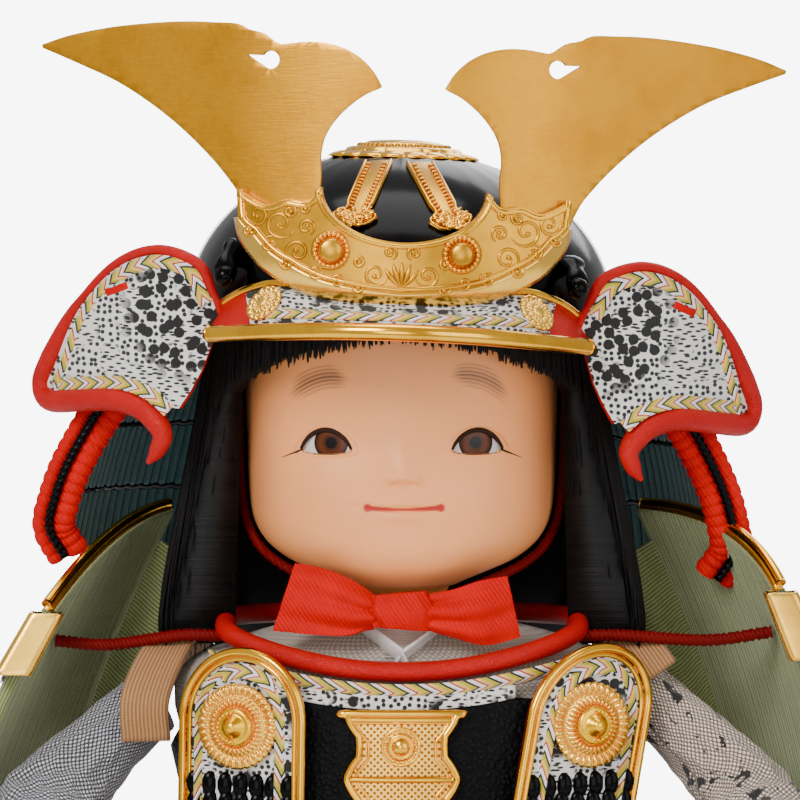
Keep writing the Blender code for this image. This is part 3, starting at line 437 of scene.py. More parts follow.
@dataclass(frozen=True)
class Ribbon(Finish):
    """Silk crepe ribbon: soft satin sheen with fine creases along it."""

    def paint(self, graph: Graph) -> None:
        """Slanting fine ribs of about 0.9 mm, coarser than real ones; slower noise shifts the red."""
        where = graph.add("TexCoord", out="Object")
        turned = graph.add("Mapping", {"Vector": where, "Rotation": (0.0, 0.6, 0.0)})
        crepe = graph.wave("X", turned, 380.0, 1.0, 2.0)
        slow = graph.noise(where, 120.0, 3.0)
        tone = graph.toned(self.colour, slow, 0.7, 1.25)
        graph.set(Base_Color=tone, Roughness=0.6, Specular_IOR_Level=0.12)
        graph.emboss(crepe, 0.1)


@dataclass(frozen=True)
class Hair(Finish):
    """Combed silk hair: near-black strands with long soft highlights."""

    def paint(self, graph: Graph) -> None:
        """Noise stretched along each lock: the UV's first number goes round it and its second along it."""
        where = graph.add("UVMap")
        long = graph.add("Mapping", {"Vector": where, "Scale": (7.0, 0.06, 1.0)})
        strands = graph.noise(long, 1.0, 4.0, 0.65)
        tone = graph.ramp(strands, (0.35, "030303"), (0.75, "120F0E"))
        gloss = graph.span(strands, 0.42, 0.65)
        graph.set(Base_Color=tone, Roughness=gloss, Specular_IOR_Level=0.22)
        graph.emboss(strands, 0.25)


@dataclass(frozen=True)
class Skin(Finish):
    """Painted gofun-style skin: satin peach with rosy cheeks and painted shade at the edges, grey brush-stroke brows
    and a red lip line.
    """

    # Colour of the cheeks and of the painted shade at the face's edges.
    blush_and_shade: str = "B5704A"
    painted: bool = True

    def paint(self, graph: Graph) -> None:
        """Paint comes from the point attribute "paint": red is cheek colour and painted shade, green brow, blue lips.
        """
        coords = graph.add("TexCoord", out="Object")
        fine = graph.noise(coords, 700.0, 4.0)
        slow = graph.noise(coords, 60.0, 3.0)
        tone = graph.toned(self.colour, slow, 0.95, 1.04)
        if self.painted:
            masks = graph.add("SeparateColor", {0: graph.add("Attribute", attribute_name="paint")})
            # Red paint: cheek colour and painted shade at the face's edges.
            tone = graph.mix(masks, tone, self.blush_and_shade)
            tone = graph.mix(masks.node.outputs[1], tone, "4E3C30")
            tone = graph.mix(masks.node.outputs[2], tone, "B81004")
        graph.set(Base_Color=tone, Roughness=0.42, Subsurface_Weight=0.12, Specular_IOR_Level=0.45)
        graph.shader.inputs["Subsurface Radius"].default_value = (0.6, 0.3, 0.15)
        graph.shader.inputs["Subsurface Scale"].default_value = 0.002
        graph.emboss(fine, 0.02)


@dataclass(frozen=True)
class GlassEye(Finish):
    """Glass doll's eye: warm white, brown ringed iris and a black pupil under a clear coat."""

    def paint(self, graph: Graph) -> None:
        """Rings by the UV's first number, which is the distance from the pupil's middle in mm."""
        where = graph.add("SeparateXYZ", {0: graph.add("UVMap")})
        near = graph.calc("DIVIDE", where, 4.0)
        streak = graph.noise(graph.add("UVMap"), 5.0, 2.0)
        pupil, iris = ((0.0, "020101"), (0.30, "030201")), ((0.34, "3E1A06"), (0.62, "5C2A0C"), (0.80, "431C08"))
        rings = graph.ramp(near, *pupil, *iris, (0.86, "120704"), (0.92, "120704"), (0.96, "D8CEC6"))
        tone = graph.toned(rings, streak, 0.8, 1.2)
        graph.set(Base_Color=tone, Roughness=0.3, Specular_IOR_Level=0.25, Coat_Weight=0.08, Coat_Roughness=0.1)


HORN_GILT = Gilding("brushed_gilt_sheet", "gold_metal", "DA981E", "CA8410", 0.38, MetalWork.BRUSHED)
CREST_GILT = Gilding("chased_antique_gilt", "gold_metal", "DCA024", "A87010", 0.3, MetalWork.POLISHED)
RIM_GILT = Gilding("polished_gilt_tube", "gold_metal", "FFBE2E", "DD9218", 0.17, MetalWork.POLISHED)
STAMPED_GILT = Gilding("stamped_gilt_flower", "gold_metal", "FFCB55", "E8A830", 0.24, MetalWork.POLISHED)
BOSS_GILT = Gilding("yellow_gilt_boss", "gold_metal", "FFC814", "F0AA00", 0.26, MetalWork.POLISHED)
PIERCED_GILT = Gilding("pierced_gilt_plate", "gold_metal", "FFC45A", "DFA040", 0.3, MetalWork.PIERCED)
BLACK_LACQUER = Lacquer("black_urushi_lacquer", "black_lacquer", "020203", 0.12)
PEBBLED_LACQUER = Lacquer("pebbled_black_leather", "black_lacquer", "040405", 0.4, 1.1)
RED_LEATHER = Leather("smoked_red_leather", "red_leather", "B80200")
EDGE_BRAID = Braid("plaited_edge_braid", "patterned_cloth", "F1EEE4")
ROPE_BRAID = Braid(
    "gold_white_rope_braid",
    "patterned_cloth",
    "F1EEE4",
    ((0.0, "3A2410"), (0.1, "EFE6D2"), (0.5, "6E4A1C"), (0.58, "C08C34")),
    2.4,
    0.8,
)
SPOTTED_CLOTH = PrintedCloth("spotted_print_cloth", "patterned_cloth", "EDEAE2")
BLOTTED_CLOTH = PrintedCloth("blotted_print_cloth", "patterned_cloth", "EDEAE2", blot_at=(47.0, 178.0, 17.0))
RED_LACING = SilkLacing("red_silk_lacing", "red_lacing", "B00402")
TEAL_LACING = SilkLacing("teal_silk_lacing", "red_lacing", "0E6468", "04181A")
# The two sleeves are one brocade, given as a shaded copy with a painted silver sheen and a lit copy.
SHADED_COPY_BROCADE = Cloth("brocade_shaded_copy_silver_sheen", "brocade", "34332F", "C4C6D0", 1.0, Weave.DOTTED, 0.35)
LIT_COPY_BROCADE = Cloth("brocade_lit_copy", "brocade", "6E5C50", "EADCCB", 1.0, Weave.SCATTERED, 0.2)
DARK_BROCADE = Cloth("dark_damask", "brocade", "5A5550", "423E3A", 0.9, Weave.DAMASK, 0.15)
TAUPE_CLOTH = Cloth("dotted_taupe_cloth", "patterned_cloth", "8D8377", "B7AD9E", 0.8, Weave.DOTTED)
WHITE_CLOTH = Cloth("plain_white_cloth", "white_cloth", "EFEBE4", "E2DCD2", 0.5, Weave.PLAIN)
# In the two ribbed cloths below, the second colour is painted shade in the rib valleys.
OLIVE_LINING = Cloth("ribbed_olive_lining", "patterned_cloth", "98A264", "5C6438", 0.9, Weave.RIBBED)
TAN_SATIN = Cloth("tan_satin_band", "tan_satin", "B98450", "865A30", 0.9, Weave.RIBBED, 0.25)
RED_RIBBON = Ribbon("red_crepe_ribbon", "red_leather", "C60000")
DARK_CORD = Ribbon("dark_red_cord", "red_leather", "6A0202")
BLACK_HAIR = Hair("combed_black_hair", "black_hair", "0A0908")
FACE_SKIN = Skin("painted_face_skin", "skin_paint", "FFA560")
HAND_SKIN = Skin("painted_hand_skin", "skin_paint", "FFA560", painted=False)
EYE_GLASS = GlassEye("brown_glass_eye", "eye_glass", "EFE4DA")


# Mesh helpers: everything below is in millimetres until it is set into a mesh


def smooth(t: Array) -> Array:
    """Ease from 0 to 1: 3t^2 - 2t^3, held outside 0..1."""
    t = np.clip(t, 0, 1)
    return t * t * (3 - 2 * t)


def circle(count: int) -> Array:
    """Angles spaced evenly round a full turn."""
    return np.linspace(0, 2 * math.pi, count, endpoint=False)


def stacked(*parts: Array | float) -> Array:
    """Coordinates that broadcast to one shape, joined along a new last axis."""
    return np.stack(np.broadcast_arrays(*parts), -1)


def through(points: Sequence[Sequence[float]], count: int, closed: bool = False) -> Array:
    """Points evenly spaced along a Catmull-Rom curve through the given ones.

    Args:
        points: the points to pass through, in two or three dimensions.
        count: how many points to return.
        closed: whether the curve returns to its start.

    Returns:
        An array of count points.
    """
    p = np.asarray(points, float)
    p = np.vstack([p[-1:], p, p[:2]]) if closed else np.vstack([2 * p[0] - p[1], p, 2 * p[-1] - p[-2]])
    t = np.linspace(0, 1, 24, endpoint=False)[:, None, None]
    a, b, c, d = p[:-3], p[1:-2], p[2:-1], p[3:]
    curve = 0.5 * (2 * b + (c - a) * t + (2 * a - 5 * b + 4 * c - d) * t**2 + (3 * b - a - 3 * c + d) * t**3)
    curve = np.vstack([curve.transpose(1, 0, 2).reshape(-1, p.shape[1]), p[-2][None]])
    gone = np.concatenate([[0], np.cumsum(np.linalg.norm(np.diff(curve, axis=0), axis=1))])
    at = np.linspace(0, gone[-1], count)
    return np.stack([np.interp(at, gone, curve[:, k]) for k in range(p.shape[1])], 1)


def lengths(path: Array) -> Array:
    """Distance gone along a path at each of its points."""
    return np.concatenate([[0], np.cumsum(np.linalg.norm(np.diff(path, axis=0), axis=1))])


def unit(v: Array) -> Array:
    """Vectors along the last axis, each of length one."""
    return v / np.maximum(np.linalg.norm(v, axis=-1, keepdims=True), 1e-9)


def frames(path: Array, up: Sequence[float] | Array) -> tuple[Array, Array, Array]:
    """Tangent, side and upward unit vectors along a path.

    Args:
        path: the points.
        up: one vector, or one for each point, that the upward one leans to.

    Returns:
        The three arrays; side = tangent x up.
    """
    tangent = unit(np.gradient(path, axis=0))
    lean = np.broadcast_to(np.asarray(up, float), path.shape)
    side = unit(np.cross(tangent, lean))
    return tangent, side, np.cross(side, tangent)


class Builder:
    """Makes objects from grids of points and puts them on the model's body."""

    @staticmethod
    def mesh(
        name: str,
        points: Array,
        faces: Sequence[Sequence[int]] | Array,
        finish: Finish | Sequence[Finish],
        uv: Array | None = None,
    ) -> bpy.types.Object:
        """Make an object of points in mm.

        Args:
            name: the object's name.
            points: rows of x, y, z in mm.
            faces: corner numbers, three or four to a face.
            finish: one finish, or several in the order of their numbers.
            uv: two numbers for each point, in mm along the surface.

        Returns:
            The object, linked to the scene and riding on the body.
        """
        data = bpy.data.meshes.new(name)
        corners = faces if isinstance(faces, list) else faces.tolist()
        data.from_pydata((np.asarray(points, float) * MM).tolist(), [], corners)
        piece = bpy.data.objects.new(name, data)
        bpy.context.scene.collection.objects.link(piece)
        finishes = [finish] if isinstance(finish, Finish) else list(finish)
        for one in finishes:
            data.materials.append(one.material())
        if uv is not None:
            corner = np.empty(len(data.loops), np.int32)
            data.loops.foreach_get("vertex_index", corner)
            data.uv_layers.new(name="UVMap").data.foreach_set("uv", np.asarray(uv, np.float32)[corner].ravel())
        data.polygons.foreach_set("use_smooth", np.full(len(data.polygons), True))
        data.update()
        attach(piece, BODY)
        return piece

    @staticmethod
    def grid_faces(rows: int, columns: int, wrap_rows: bool = False, wrap_columns: bool = False) -> Array:
        """Quads over a grid of points stored row by row; a wrapped way joins its last line to its first."""
        r = np.arange(rows if wrap_rows else rows - 1)[:, None]
        c = np.arange(columns if wrap_columns else columns - 1)[None]
        r2, c2 = (r + 1) % rows, (c + 1) % columns
        quads = stacked(r * columns + c, r2 * columns + c, r2 * columns + c2, r * columns + c2)
        return quads.reshape(-1, 4)

    @classmethod
    def capped(cls, rows: int, columns: int) -> list[list[int]]:
        """Quads over closed rings of points, and one face on the first ring and one on the last."""
        ends = [list(range(columns))[::-1], list(range((rows - 1) * columns, rows * columns))]
        return cls.grid_faces(rows, columns, False, True).tolist() + ends

    @classmethod
    def body(cls, name: str, grid: Array, finish: Finish, uv: Array | None = None) -> bpy.types.Object:
        """Make a closed body of rings with capped ends, its faces outward.

        Args:
            name: the object's name.
            grid: points of shape rings x columns x 3.
            finish: its finish.
            uv: rings x columns x 2, in mm.

        Returns:
            The object.
        """
        flat_uv = None if uv is None else uv.reshape(-1, 2)
        return cls.outward(cls.mesh(name, grid.reshape(-1, 3), cls.capped(*grid.shape[:2]), finish, flat_uv))

    @staticmethod
    def wall(piece: bpy.types.Object, thick: float, offset: float, bevel: float = 0.0) -> None:
        """Grow a wall from a surface; where there are two finishes, its back and rim take the second.

        Args:
            piece: the surface.
            thick: the wall in mm.
            offset: side on which it grows.
            bevel: widest bevel of its edges in mm, or 0 for none.
        """
        wall = piece.modifiers.new("wall", "SOLIDIFY")
        wall.thickness, wall.offset = thick * MM, offset
        if len(piece.data.materials) > 1:
            wall.material_offset = wall.material_offset_rim = 1
        if bevel:
            edge = piece.modifiers.new("edge", "BEVEL")
            edge.width, edge.segments, edge.limit_method = min(thick * 0.3, bevel) * MM, 2, "ANGLE"

    @classmethod
    def sheet(
        cls,
        name: str,
        grid: Array,
        finish: Finish | Sequence[Finish],
        thick: float = 0.0,
        uv: Array | None = None,
        wrap: bool = False,
        offset: float = -1.0,
        crease: bool = False,
    ) -> bpy.types.Object:
        """Make a surface from a grid of points, with a wall if thick is given.

        Args:
            name: the object's name.
            grid: points of shape rows x columns x 3.
            finish: its finish; a second one goes on the back and rim of the wall.
            thick: wall in mm, grown by a Solidify modifier.
            uv: rows x columns x 2, or None for the distances along the grid in mm.
            wrap: whether each row closes on itself.
            offset: side on which the wall grows.
            crease: whether to bevel the wall's edges.

        Returns:
            The object.
        """
        rows, columns = grid.shape[:2]
        if uv is None:
            wide, high = (np.linalg.norm(np.diff(grid, axis=k), axis=2) for k in (1, 0))
            across = np.concatenate([np.zeros((rows, 1)), np.cumsum(wide, 1)], 1)
            down = np.concatenate([np.zeros((1, columns)), np.cumsum(high, 0)], 0)
            uv = np.stack([across, down], -1)
        faces = cls.grid_faces(rows, columns, False, wrap)
        piece = cls.mesh(name, grid.reshape(-1, 3), faces, finish, uv.reshape(-1, 2))
        if thick:
            cls.wall(piece, thick, offset, 0.4 if crease else 0.0)
        return piece

    @classmethod
    def tube(
        cls,
        name: str,
        path: Array,
        radius: float | Array,
        finish: Finish,
        sides: int = 12,
        closed: bool = False,
        up: Sequence[float] | Array = (0.0, 0.0, 1.0),
        flat: float | Array = 1.0,
        twist: float = 0.0,
        lobes: int = 0,
        lobe_depth: float = 0.0,
    ) -> bpy.types.Object:
        """Make a tube: a circle (or lobed rope section) carried along a path, with its ends closed.

        Args:
            name: the object's name.
            path: points of the middle line.
            radius: one radius or one for each point.
            finish: the finish.
            sides: points round it.
            closed: whether the path closes on itself.
            up: the way of the section's upward axis.
            flat: share by which the section is squashed along up.
            twist: turns of the section over the whole path.
            lobes: number of rope strands shown round the section.
            lobe_depth: share of the radius that the valleys lie deeper.

        Returns:
            The object.
        """
        points = cls.tube_points(path, radius, sides, up, flat, twist, lobes, lobe_depth, closed)
        count = len(path)
        faces = cls.grid_faces(count, sides, True, True).tolist() if closed else cls.capped(count, sides)
        around = np.linspace(0, 2 * math.pi * float(np.mean(radius)), sides)
        uv = stacked(lengths(path)[:, None], around[None])
        return cls.mesh(name, points.reshape(-1, 3), faces, finish, uv.reshape(-1, 2))

    @staticmethod
    def tube_points(
        path: Array,
        radius: float | Array,
        sides: int,
        up: Sequence[float] | Array = (0.0, 0.0, 1.0),
        flat: float | Array = 1.0,
        twist: float = 0.0,
        lobes: int = 0,
        lobe_depth: float = 0.0,
        closed: bool = False,
    ) -> Array:
        """Points of a tube: path + r (side cos a + up flat sin a), with r lowered between the lobes."""
        if closed:
            path = np.vstack([path[-1:], path, path[:1]])
        _, side, above = frames(path, up)
        if closed:
            path, side, above = path[1:-1], side[1:-1], above[1:-1]
        turn = 2 * math.pi * twist * np.linspace(0, 1, len(path))[:, None]
        a = circle(sides)[None]
        r = np.broadcast_to(np.asarray(radius, float), (len(path),))[:, None]
        r = r * (1 - lobe_depth * (0.5 - 0.5 * np.cos(lobes * (a + turn)))) if lobes else r + 0 * a
        squash = np.broadcast_to(np.asarray(flat, float), (len(path),))[:, None]
        return (
            path[:, None]
            + side[:, None] * (r * np.cos(a))[..., None]
            + above[:, None] * (r * squash * np.sin(a))[..., None]
        )

    @classmethod
    def plate(
        cls,
        name: str,
        loops: Sequence[Array],
        bend: Any,
        finish: Finish | Sequence[Finish],
        thick: float,
        step: float = 2.0,
        move: Any = None,
    ) -> bpy.types.Object:
        """Make a bent sheet from outlines in x and z; outlines inside the first one are holes.

        The face inside the outlines is cut at every step of x, so that y = bend(x, z) holds all over it,
        and the wall grows backwards from there.

        Args:
            name: the object's name.
            loops: outlines as rows of x, z in mm.
            bend: function giving y from arrays of x and z.
            finish: one finish, or one for the front and one for the rest.
            thick: wall in mm.
            step: distance between cuts in mm.
            move: function that turns or shifts the points at the end.

        Returns:
            The object.
        """
        work = bmesh.new()
        for loop in loops:
            corners = [work.verts.new((x, 0.0, z)) for x, z in loop]
            for k, corner in enumerate(corners):
                work.edges.new((corner, corners[(k + 1) % len(corners)]))
        bmesh.ops.triangle_fill(work, use_beauty=True, use_dissolve=False, edges=work.edges[:])
        for axis in (0, 2):
            low, high = np.floor(loops[0][:, axis // 2].min()), loops[0][:, axis // 2].max()
            for at in np.arange(low, high, step):
                normal = [0.0, 0.0, 0.0]
                normal[axis], place = 1.0, [0.0, 0.0, 0.0]
                place[axis] = at + 0.013
                parts = work.verts[:] + work.edges[:] + work.faces[:]
                bmesh.ops.bisect_plane(work, geom=parts, plane_co=place, plane_no=normal)
        bmesh.ops.remove_doubles(work, verts=work.verts[:], dist=0.01)
        for face in work.faces:
            if face.normal.y > 0:
                face.normal_flip()
        work.verts.ensure_lookup_table()
        flat = np.array([v.co for v in work.verts])
        faces = [[v.index for v in face.verts] for face in work.faces]
        work.free()
        points = np.stack([flat[:, 0], bend(flat[:, 0], flat[:, 2]), flat[:, 2]], 1)
        piece = cls.mesh(name, points if move is None else move(points), faces, finish, flat[:, [0, 2]])
        cls.wall(piece, thick, -1.0, 0.35)
        return piece

    @classmethod
    def lathe(
        cls,
        name: str,
        profile: Array,
        centre: Sequence[float],
        axis: Sequence[float],
        finish: Finish,
        sides: int = 64,
        ripple: Any = None,
        move: Any = None,
    ) -> bpy.types.Object:
        """Make a turned piece: the profile's (radius, height) pairs carried round an axis.

        Args:
            name: the object's name.
            profile: rows of radius and height, from the rim to the middle or back.
            centre: where height 0 lies on the axis.
            axis: the way of growing height.
            finish: the finish.
            sides: points round it.
            ripple: function of (angle, radius, height) giving (radius, height), for petals and scallops.
            move: function that turns or shifts the points at the end.

        Returns:
            The object.
        """
        a = circle(sides)[None]
        r, h = profile[:, :1] + 0 * a, profile[:, 1:] + 0 * a
        if ripple is not None:
            r, h = ripple(a + 0 * r, r, h)
        way = unit(np.asarray(axis, float))
        side = unit(np.cross(way, (0.0, 0.0, 1.0) if abs(way[2]) < 0.9 else (0.0, 1.0, 0.0)))
        above = np.cross(side, way)
        points = (
            np.asarray(centre, float)
            + side * (r * np.cos(a))[..., None]
            + above * (r * np.sin(a))[..., None]
            + way * h[..., None]
        )
        uv = np.stack([r * np.cos(a), r * np.sin(a)], -1)
        return cls.body(name, points if move is None else move(points), finish, uv)

    @staticmethod
    def outward(piece: bpy.types.Object) -> bpy.types.Object:
        """Turn every face outward."""
        work = bmesh.new()
        work.from_mesh(piece.data)
        bmesh.ops.recalc_face_normals(work, faces=work.faces[:])
        work.to_mesh(piece.data)
        work.free()
        return piece

    @classmethod
    def many(cls, name: str, bits: Sequence[Bit], finish: Finish) -> bpy.types.Object:
        """Join several (points, faces) bodies in one object, faces outward."""
        points, faces, at = [], [], 0
        for p, f in bits:
            points.append(p.reshape(-1, 3))
            faces += [[k + at for k in face] for face in f]
            at += len(points[-1])
        return cls.outward(cls.mesh(name, np.vstack(points), faces, finish, np.vstack(points)[:, [0, 2]]))


def bead(centre: Sequence[float], radius: float, sides: int = 10) -> Bit:
    """A small ball as points and faces: circles of radius r sin p at height r cos p."""
    p = np.linspace(0.25, math.pi - 0.25, 6)[:, None]
    a = circle(sides)[None]
    ball = stacked(np.sin(p) * np.cos(a), np.sin(p) * np.sin(a), np.cos(p))
    return np.asarray(centre, float) + radius * ball, Builder.capped(6, sides)


def bead_ring(centre: Array, radius: float, size: float, count: int, move: Any = None) -> list[Bit]:
    """Small balls spaced evenly on an upright circle.

    Args:
        centre: middle of the circle.
        radius: its radius.
        size: radius of a ball.
        count: how many balls.
        move: function that turns or shifts their places at the end.

    Returns:
        The balls as points and faces.
    """
    q = circle(count)
    spots = centre + np.stack([radius * np.cos(q), 0 * q, radius * np.sin(q)], 1)
    return [bead(spot, size) for spot in (spots if move is None else move(spots))]


def cord_body(path: Array, radius: float | Array, sides: int = 8, up: Sequence[float] = AHEAD) -> Bit:
    """A closed thin tube along a path as points and faces."""
    return Builder.tube_points(path, radius, sides, up), Builder.capped(len(path), sides)


def oval(half: Array, front: Array, back: Array, angle: Array, power: float) -> tuple[Array, Array]:
    """x and y of a superellipse: x = w sgn(s)|s|^(2/p), y = mid - reach sgn(c)|c|^(2/p), with angle 0 in front."""
    s, c = np.sin(angle), np.cos(angle)
    x = half * np.sign(s) * np.abs(s) ** (2 / power)
    y = (front + back) / 2 - (back - front) / 2 * np.sign(c) * np.abs(c) ** (2 / power)
    return x, y


# Helmet

HELMET_TILT = math.radians(2.0)
HELMET_PIVOT = (-0.5, 0.0, 190.0)


def tilt(points: Array) -> Array:
    """Roll points with the helmet about an axis through its pivot, the photograph's right side going down."""
    p = points - HELMET_PIVOT
    c, s = math.cos(HELMET_TILT), math.sin(HELMET_TILT)
    return np.stack([p[..., 0] * c + p[..., 2] * s, p[..., 1], -p[..., 0] * s + p[..., 2] * c], -1) + HELMET_PIVOT


def crest_bend(x: Array, z: Array | float = 0.0) -> Array:
    """y of the crest's front face: -58.6 + 0.007 x^2 near the middle, going on straight past 39 mm."""
    near = np.minimum(np.abs(x), 39.0)
    return -58.6 + 0.007 * near**2 + 0.546 * (np.abs(x) - near)


@dataclass
class Horns:
    """The two flat crescent horns of thin gilt sheet, plugged in behind the crest base."""

    thick: float = 0.9
    behind: float = 2.35
    shift: float = 1.2
    outline: tuple[tuple[float, float], ...] = (
        (82.4, 236.2), (76.0, 238.4), (67.0, 240.3), (58.0, 241.4), (50.0, 241.9), (43.1, 241.8), (38.8, 241.6),
        (36.3, 240.4), (33.0, 239.6), (29.7, 237.4), (27.0, 237.6), (23.5, 238.0), (19.6, 237.9), (15.8, 237.0),
        (13.0, 235.7), (10.9, 234.2), (8.6, 231.8), (6.8, 228.8),
    )
    lower: tuple[tuple[float, float], ...] = (
        (6.8, 228.6), (10.9, 226.6), (15.4, 222.8), (18.5, 218.4), (19.6, 213.8), (19.4, 208.0), (20.4, 200.0),
    )
    outer: tuple[tuple[float, float], ...] = (
        (34.0, 198.0), (36.4, 203.2), (38.2, 206.2), (43.3, 212.1), (50.0, 218.3), (57.1, 223.6), (65.0, 228.3),
        (73.9, 232.1), (82.3, 235.4),
    )

    def loop(self, side: int) -> list[Array]:
        """Outline and teardrop hole of one horn.

        Args:
            side: -1 for the photograph's left, 1 for its right.

        Returns:
            The outline and the hole as rows of x, z.
        """
        edge = np.vstack([through(self.outline, 60), through(self.lower, 40)[1:], through(self.outer, 50)])
        a = np.linspace(0.5, 2 * math.pi - 0.9, 26)
        hole = np.vstack([np.stack([31.2 + 1.95 * np.cos(a), 233.9 + 1.95 * np.sin(a)], 1), [[36.3, 234.9]]])
        return [np.stack([side * p[:, 0] + self.shift, p[:, 1]], 1) for p in (edge, hole)]

    def depth(self, x: Array, z: Array) -> Array:
        """y of the horns' front face, behind the crest base."""
        return crest_bend(x) + self.behind

    def build(self) -> None:
        """Cut both horns from sheet and bend them with the crest base."""
        for side, word in SIDES:
            loops = self.loop(side)
            piece = Builder.plate(f"gilt_horn_{word}", loops, self.depth, HORN_GILT, self.thick, move=tilt)
            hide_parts(f"horn_{word}")
        LOG.info("horns: sheet %.1f mm", self.thick)


@dataclass
class CrestBase:
    """Chased gilt base of the horns: scrollwork, a raised border, a turned-back rim and two beaded studs."""

    thick: float = 1.8
    border: float = 0.55
    stud_x: tuple[float, float] = (-15.4, 12.8)
    stud_z: float = 193.3
    top: tuple[tuple[float, float], ...] = ((18.0, 206.8), (21.0, 203.6), (25.5, 203.9), (30.0, 202.6), (36.4, 205.7))
    side: tuple[tuple[float, float], ...] = (
        (36.6, 199.5), (35.9, 196.2), (34.3, 193.2), (30.8, 189.2), (26.4, 186.2), (21.5, 184.1), (16.6, 182.8),
        (8.0, 182.0), (0.0, 181.9),
    )
    scrolls: tuple[tuple[float, float, float, float, int], ...] = (
        (26.6, 198.6, 3.4, 205.0, 1), (31.6, 200.4, 2.6, 20.0, -1), (22.6, 192.6, 2.8, 300.0, 1),
        (5.6, 188.4, 2.7, 190.0, 1), (24.6, 201.4, 1.5, 90.0, 1), (9.2, 185.6, 1.4, 20.0, -1),
        (28.6, 194.0, 1.9, 120.0, -1), (18.6, 188.4, 1.7, 150.0, 1), (33.4, 196.9, 1.7, 60.0, 1),
        (20.9, 198.0, 1.9, 240.0, -1), (13.6, 187.0, 1.5, 200.0, 1), (24.9, 190.2, 1.6, 30.0, -1),
        (21.4, 202.0, 1.2, 60.0, 1), (2.6, 193.2, 1.6, 250.0, -1), (9.4, 191.0, 1.3, 100.0, 1),
    )

    def lower(self, share: float) -> Array:
        """Lower edge of the right half, from the top corner to the middle; share 1 is its outer edge."""
        outer = through(self.side, 60)
        ahead = unit(np.gradient(outer, axis=0))
        inward = np.stack([ahead[:, 1], -ahead[:, 0]], 1)
        width = np.interp(np.linspace(0, 1, 60), (0, 0.1, 0.4, 0.75, 1), (0.7, 3.4, 4.4, 3.2, 2.4))
        return outer + inward * (width * (1 - share))[:, None]

    def outline(self) -> Array:
        """Outline of the flat face, mirrored about x = 0."""
        a = np.linspace(math.pi / 2, 0, 18)
        bite = np.stack([18 * np.cos(a), 206.8 - 11.4 * np.sin(a)], 1)
        half = np.vstack([bite, through(self.top, 22)[1:], self.lower(0.0)])
        half[-1, 0] = 0.0
        return np.vstack([half, (half * (-1, 1))[-2:0:-1]])

    def on_face(self, xz: Array, lift: float) -> Array:
        """Points standing lift mm in front of the face at x, z."""
        return np.stack([xz[:, 0], crest_bend(xz[:, 0]) - lift, xz[:, 1]], 1)

    def scroll(self, x: float, z: float, size: float, start: float, turn: int) -> Array:
        """A spiral r = size (1 - 0.88 t)^0.8 over one and a quarter turns."""
        t = np.linspace(0, 1, 34)
        a = math.radians(start) + turn * t * 2.6 * math.pi
        r = size * (1 - 0.88 * t) ** 0.8
        return np.stack([x + r * np.cos(a), z + r * np.sin(a)], 1)

    def build(self) -> None:
        """Make the plate, its border and scrolls, the turned-back rim and the studs."""
        outline = self.outline()
        plate = Builder.plate("chased_crest_base", [outline], crest_bend, CREST_GILT, self.thick, move=tilt)
        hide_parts("crest_base")
        normal = np.roll(outline, -1, 0) - np.roll(outline, 1, 0)
        normal = unit(np.stack([normal[:, 1], -normal[:, 0]], 1))
        centre_out = np.sign(((outline - (0, 194.0)) * normal).sum(1).mean())
        inset = outline - centre_out * normal * 0.9
        line = tilt(self.on_face(inset, 0.1))
        Builder.tube("crest_border_line", line, self.border, RIM_GILT, 8, closed=True, up=AHEAD)
        bits = []
        for x, z, size, start, turn in self.scrolls:
            for way in (-1, 1):
                curl = self.scroll(x, z, size, start, turn) * (way, 1)
                taper = np.interp(np.linspace(0, 1, 34), (0, 0.2, 0.9, 1), (0.16, 0.42, 0.3, 0.5))
                bits.append(cord_body(tilt(self.on_face(curl, 0.05)), taper, 6))
                bits.append(bead(tilt(self.on_face(curl[-1:], 0.15))[0], 0.55))
        for deg in (35, 62, 90, 118, 145):
            t = np.linspace(0, 1, 16)
            a = math.radians(deg) + 0.25 * math.cos(math.radians(deg)) * t
            leaf = np.stack([5.2 * t * np.cos(a), 185.6 + 5.6 * t * np.sin(a)], 1)
            radius = 0.12 + 0.6 * np.sin(np.pi * t**1.5) * (1 - 0.3 * t)
            bits.append(cord_body(tilt(self.on_face(leaf, 0.05)), radius, 8))
        Builder.many("crest_scrollwork", bits, CREST_GILT)
        inner, outer = (np.vstack([self.lower(k) * (-1, 1), self.lower(k)[-2::-1]]) for k in (0.0, 1.0))
        t = np.linspace(0, 1, 7)[:, None, None]
        flat = inner[None] + (outer - inner)[None] * t
        depth = crest_bend(flat[..., 0]) + 3.0 * t[..., 0] ** 1.6
        grid = tilt(np.stack([flat[..., 0], depth, flat[..., 1]], -1))
        Builder.sheet("crest_turned_rim", grid, STAMPED_GILT, 0.5, offset=0.0)
        self.studs()

    def studs(self) -> None:
        """Turn the flat-capped studs and set a ring of beads round each."""
        radii = (4.3, 4.3, 4.0, 2.9, 2.7, 2.45, 2.3, 2.0, 0.2)
        profile = np.stack([radii, (0.4, -0.6, -1.0, -1.1, -1.9, -2.8, -3.2, -3.4, -3.45)], 1)
        for x, word in zip(self.stud_x, ("left", "right")):
            y = float(crest_bend(np.array(x)))
            stud = Builder.lathe(
                f"beaded_stud_{word}", profile, (x, y, self.stud_z), (0.0, 1.0, 0.0), CREST_GILT, 40, move=tilt
            )
            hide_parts(f"crest_stud_{word}")
            ring = bead_ring(np.array([x, y - 1.15, self.stud_z]), 3.55, 0.55, 22, tilt)
            Builder.many(f"stud_beads_{word}", ring, RIM_GILT)
        LOG.info("crest base with %d scroll pairs", len(self.scrolls))


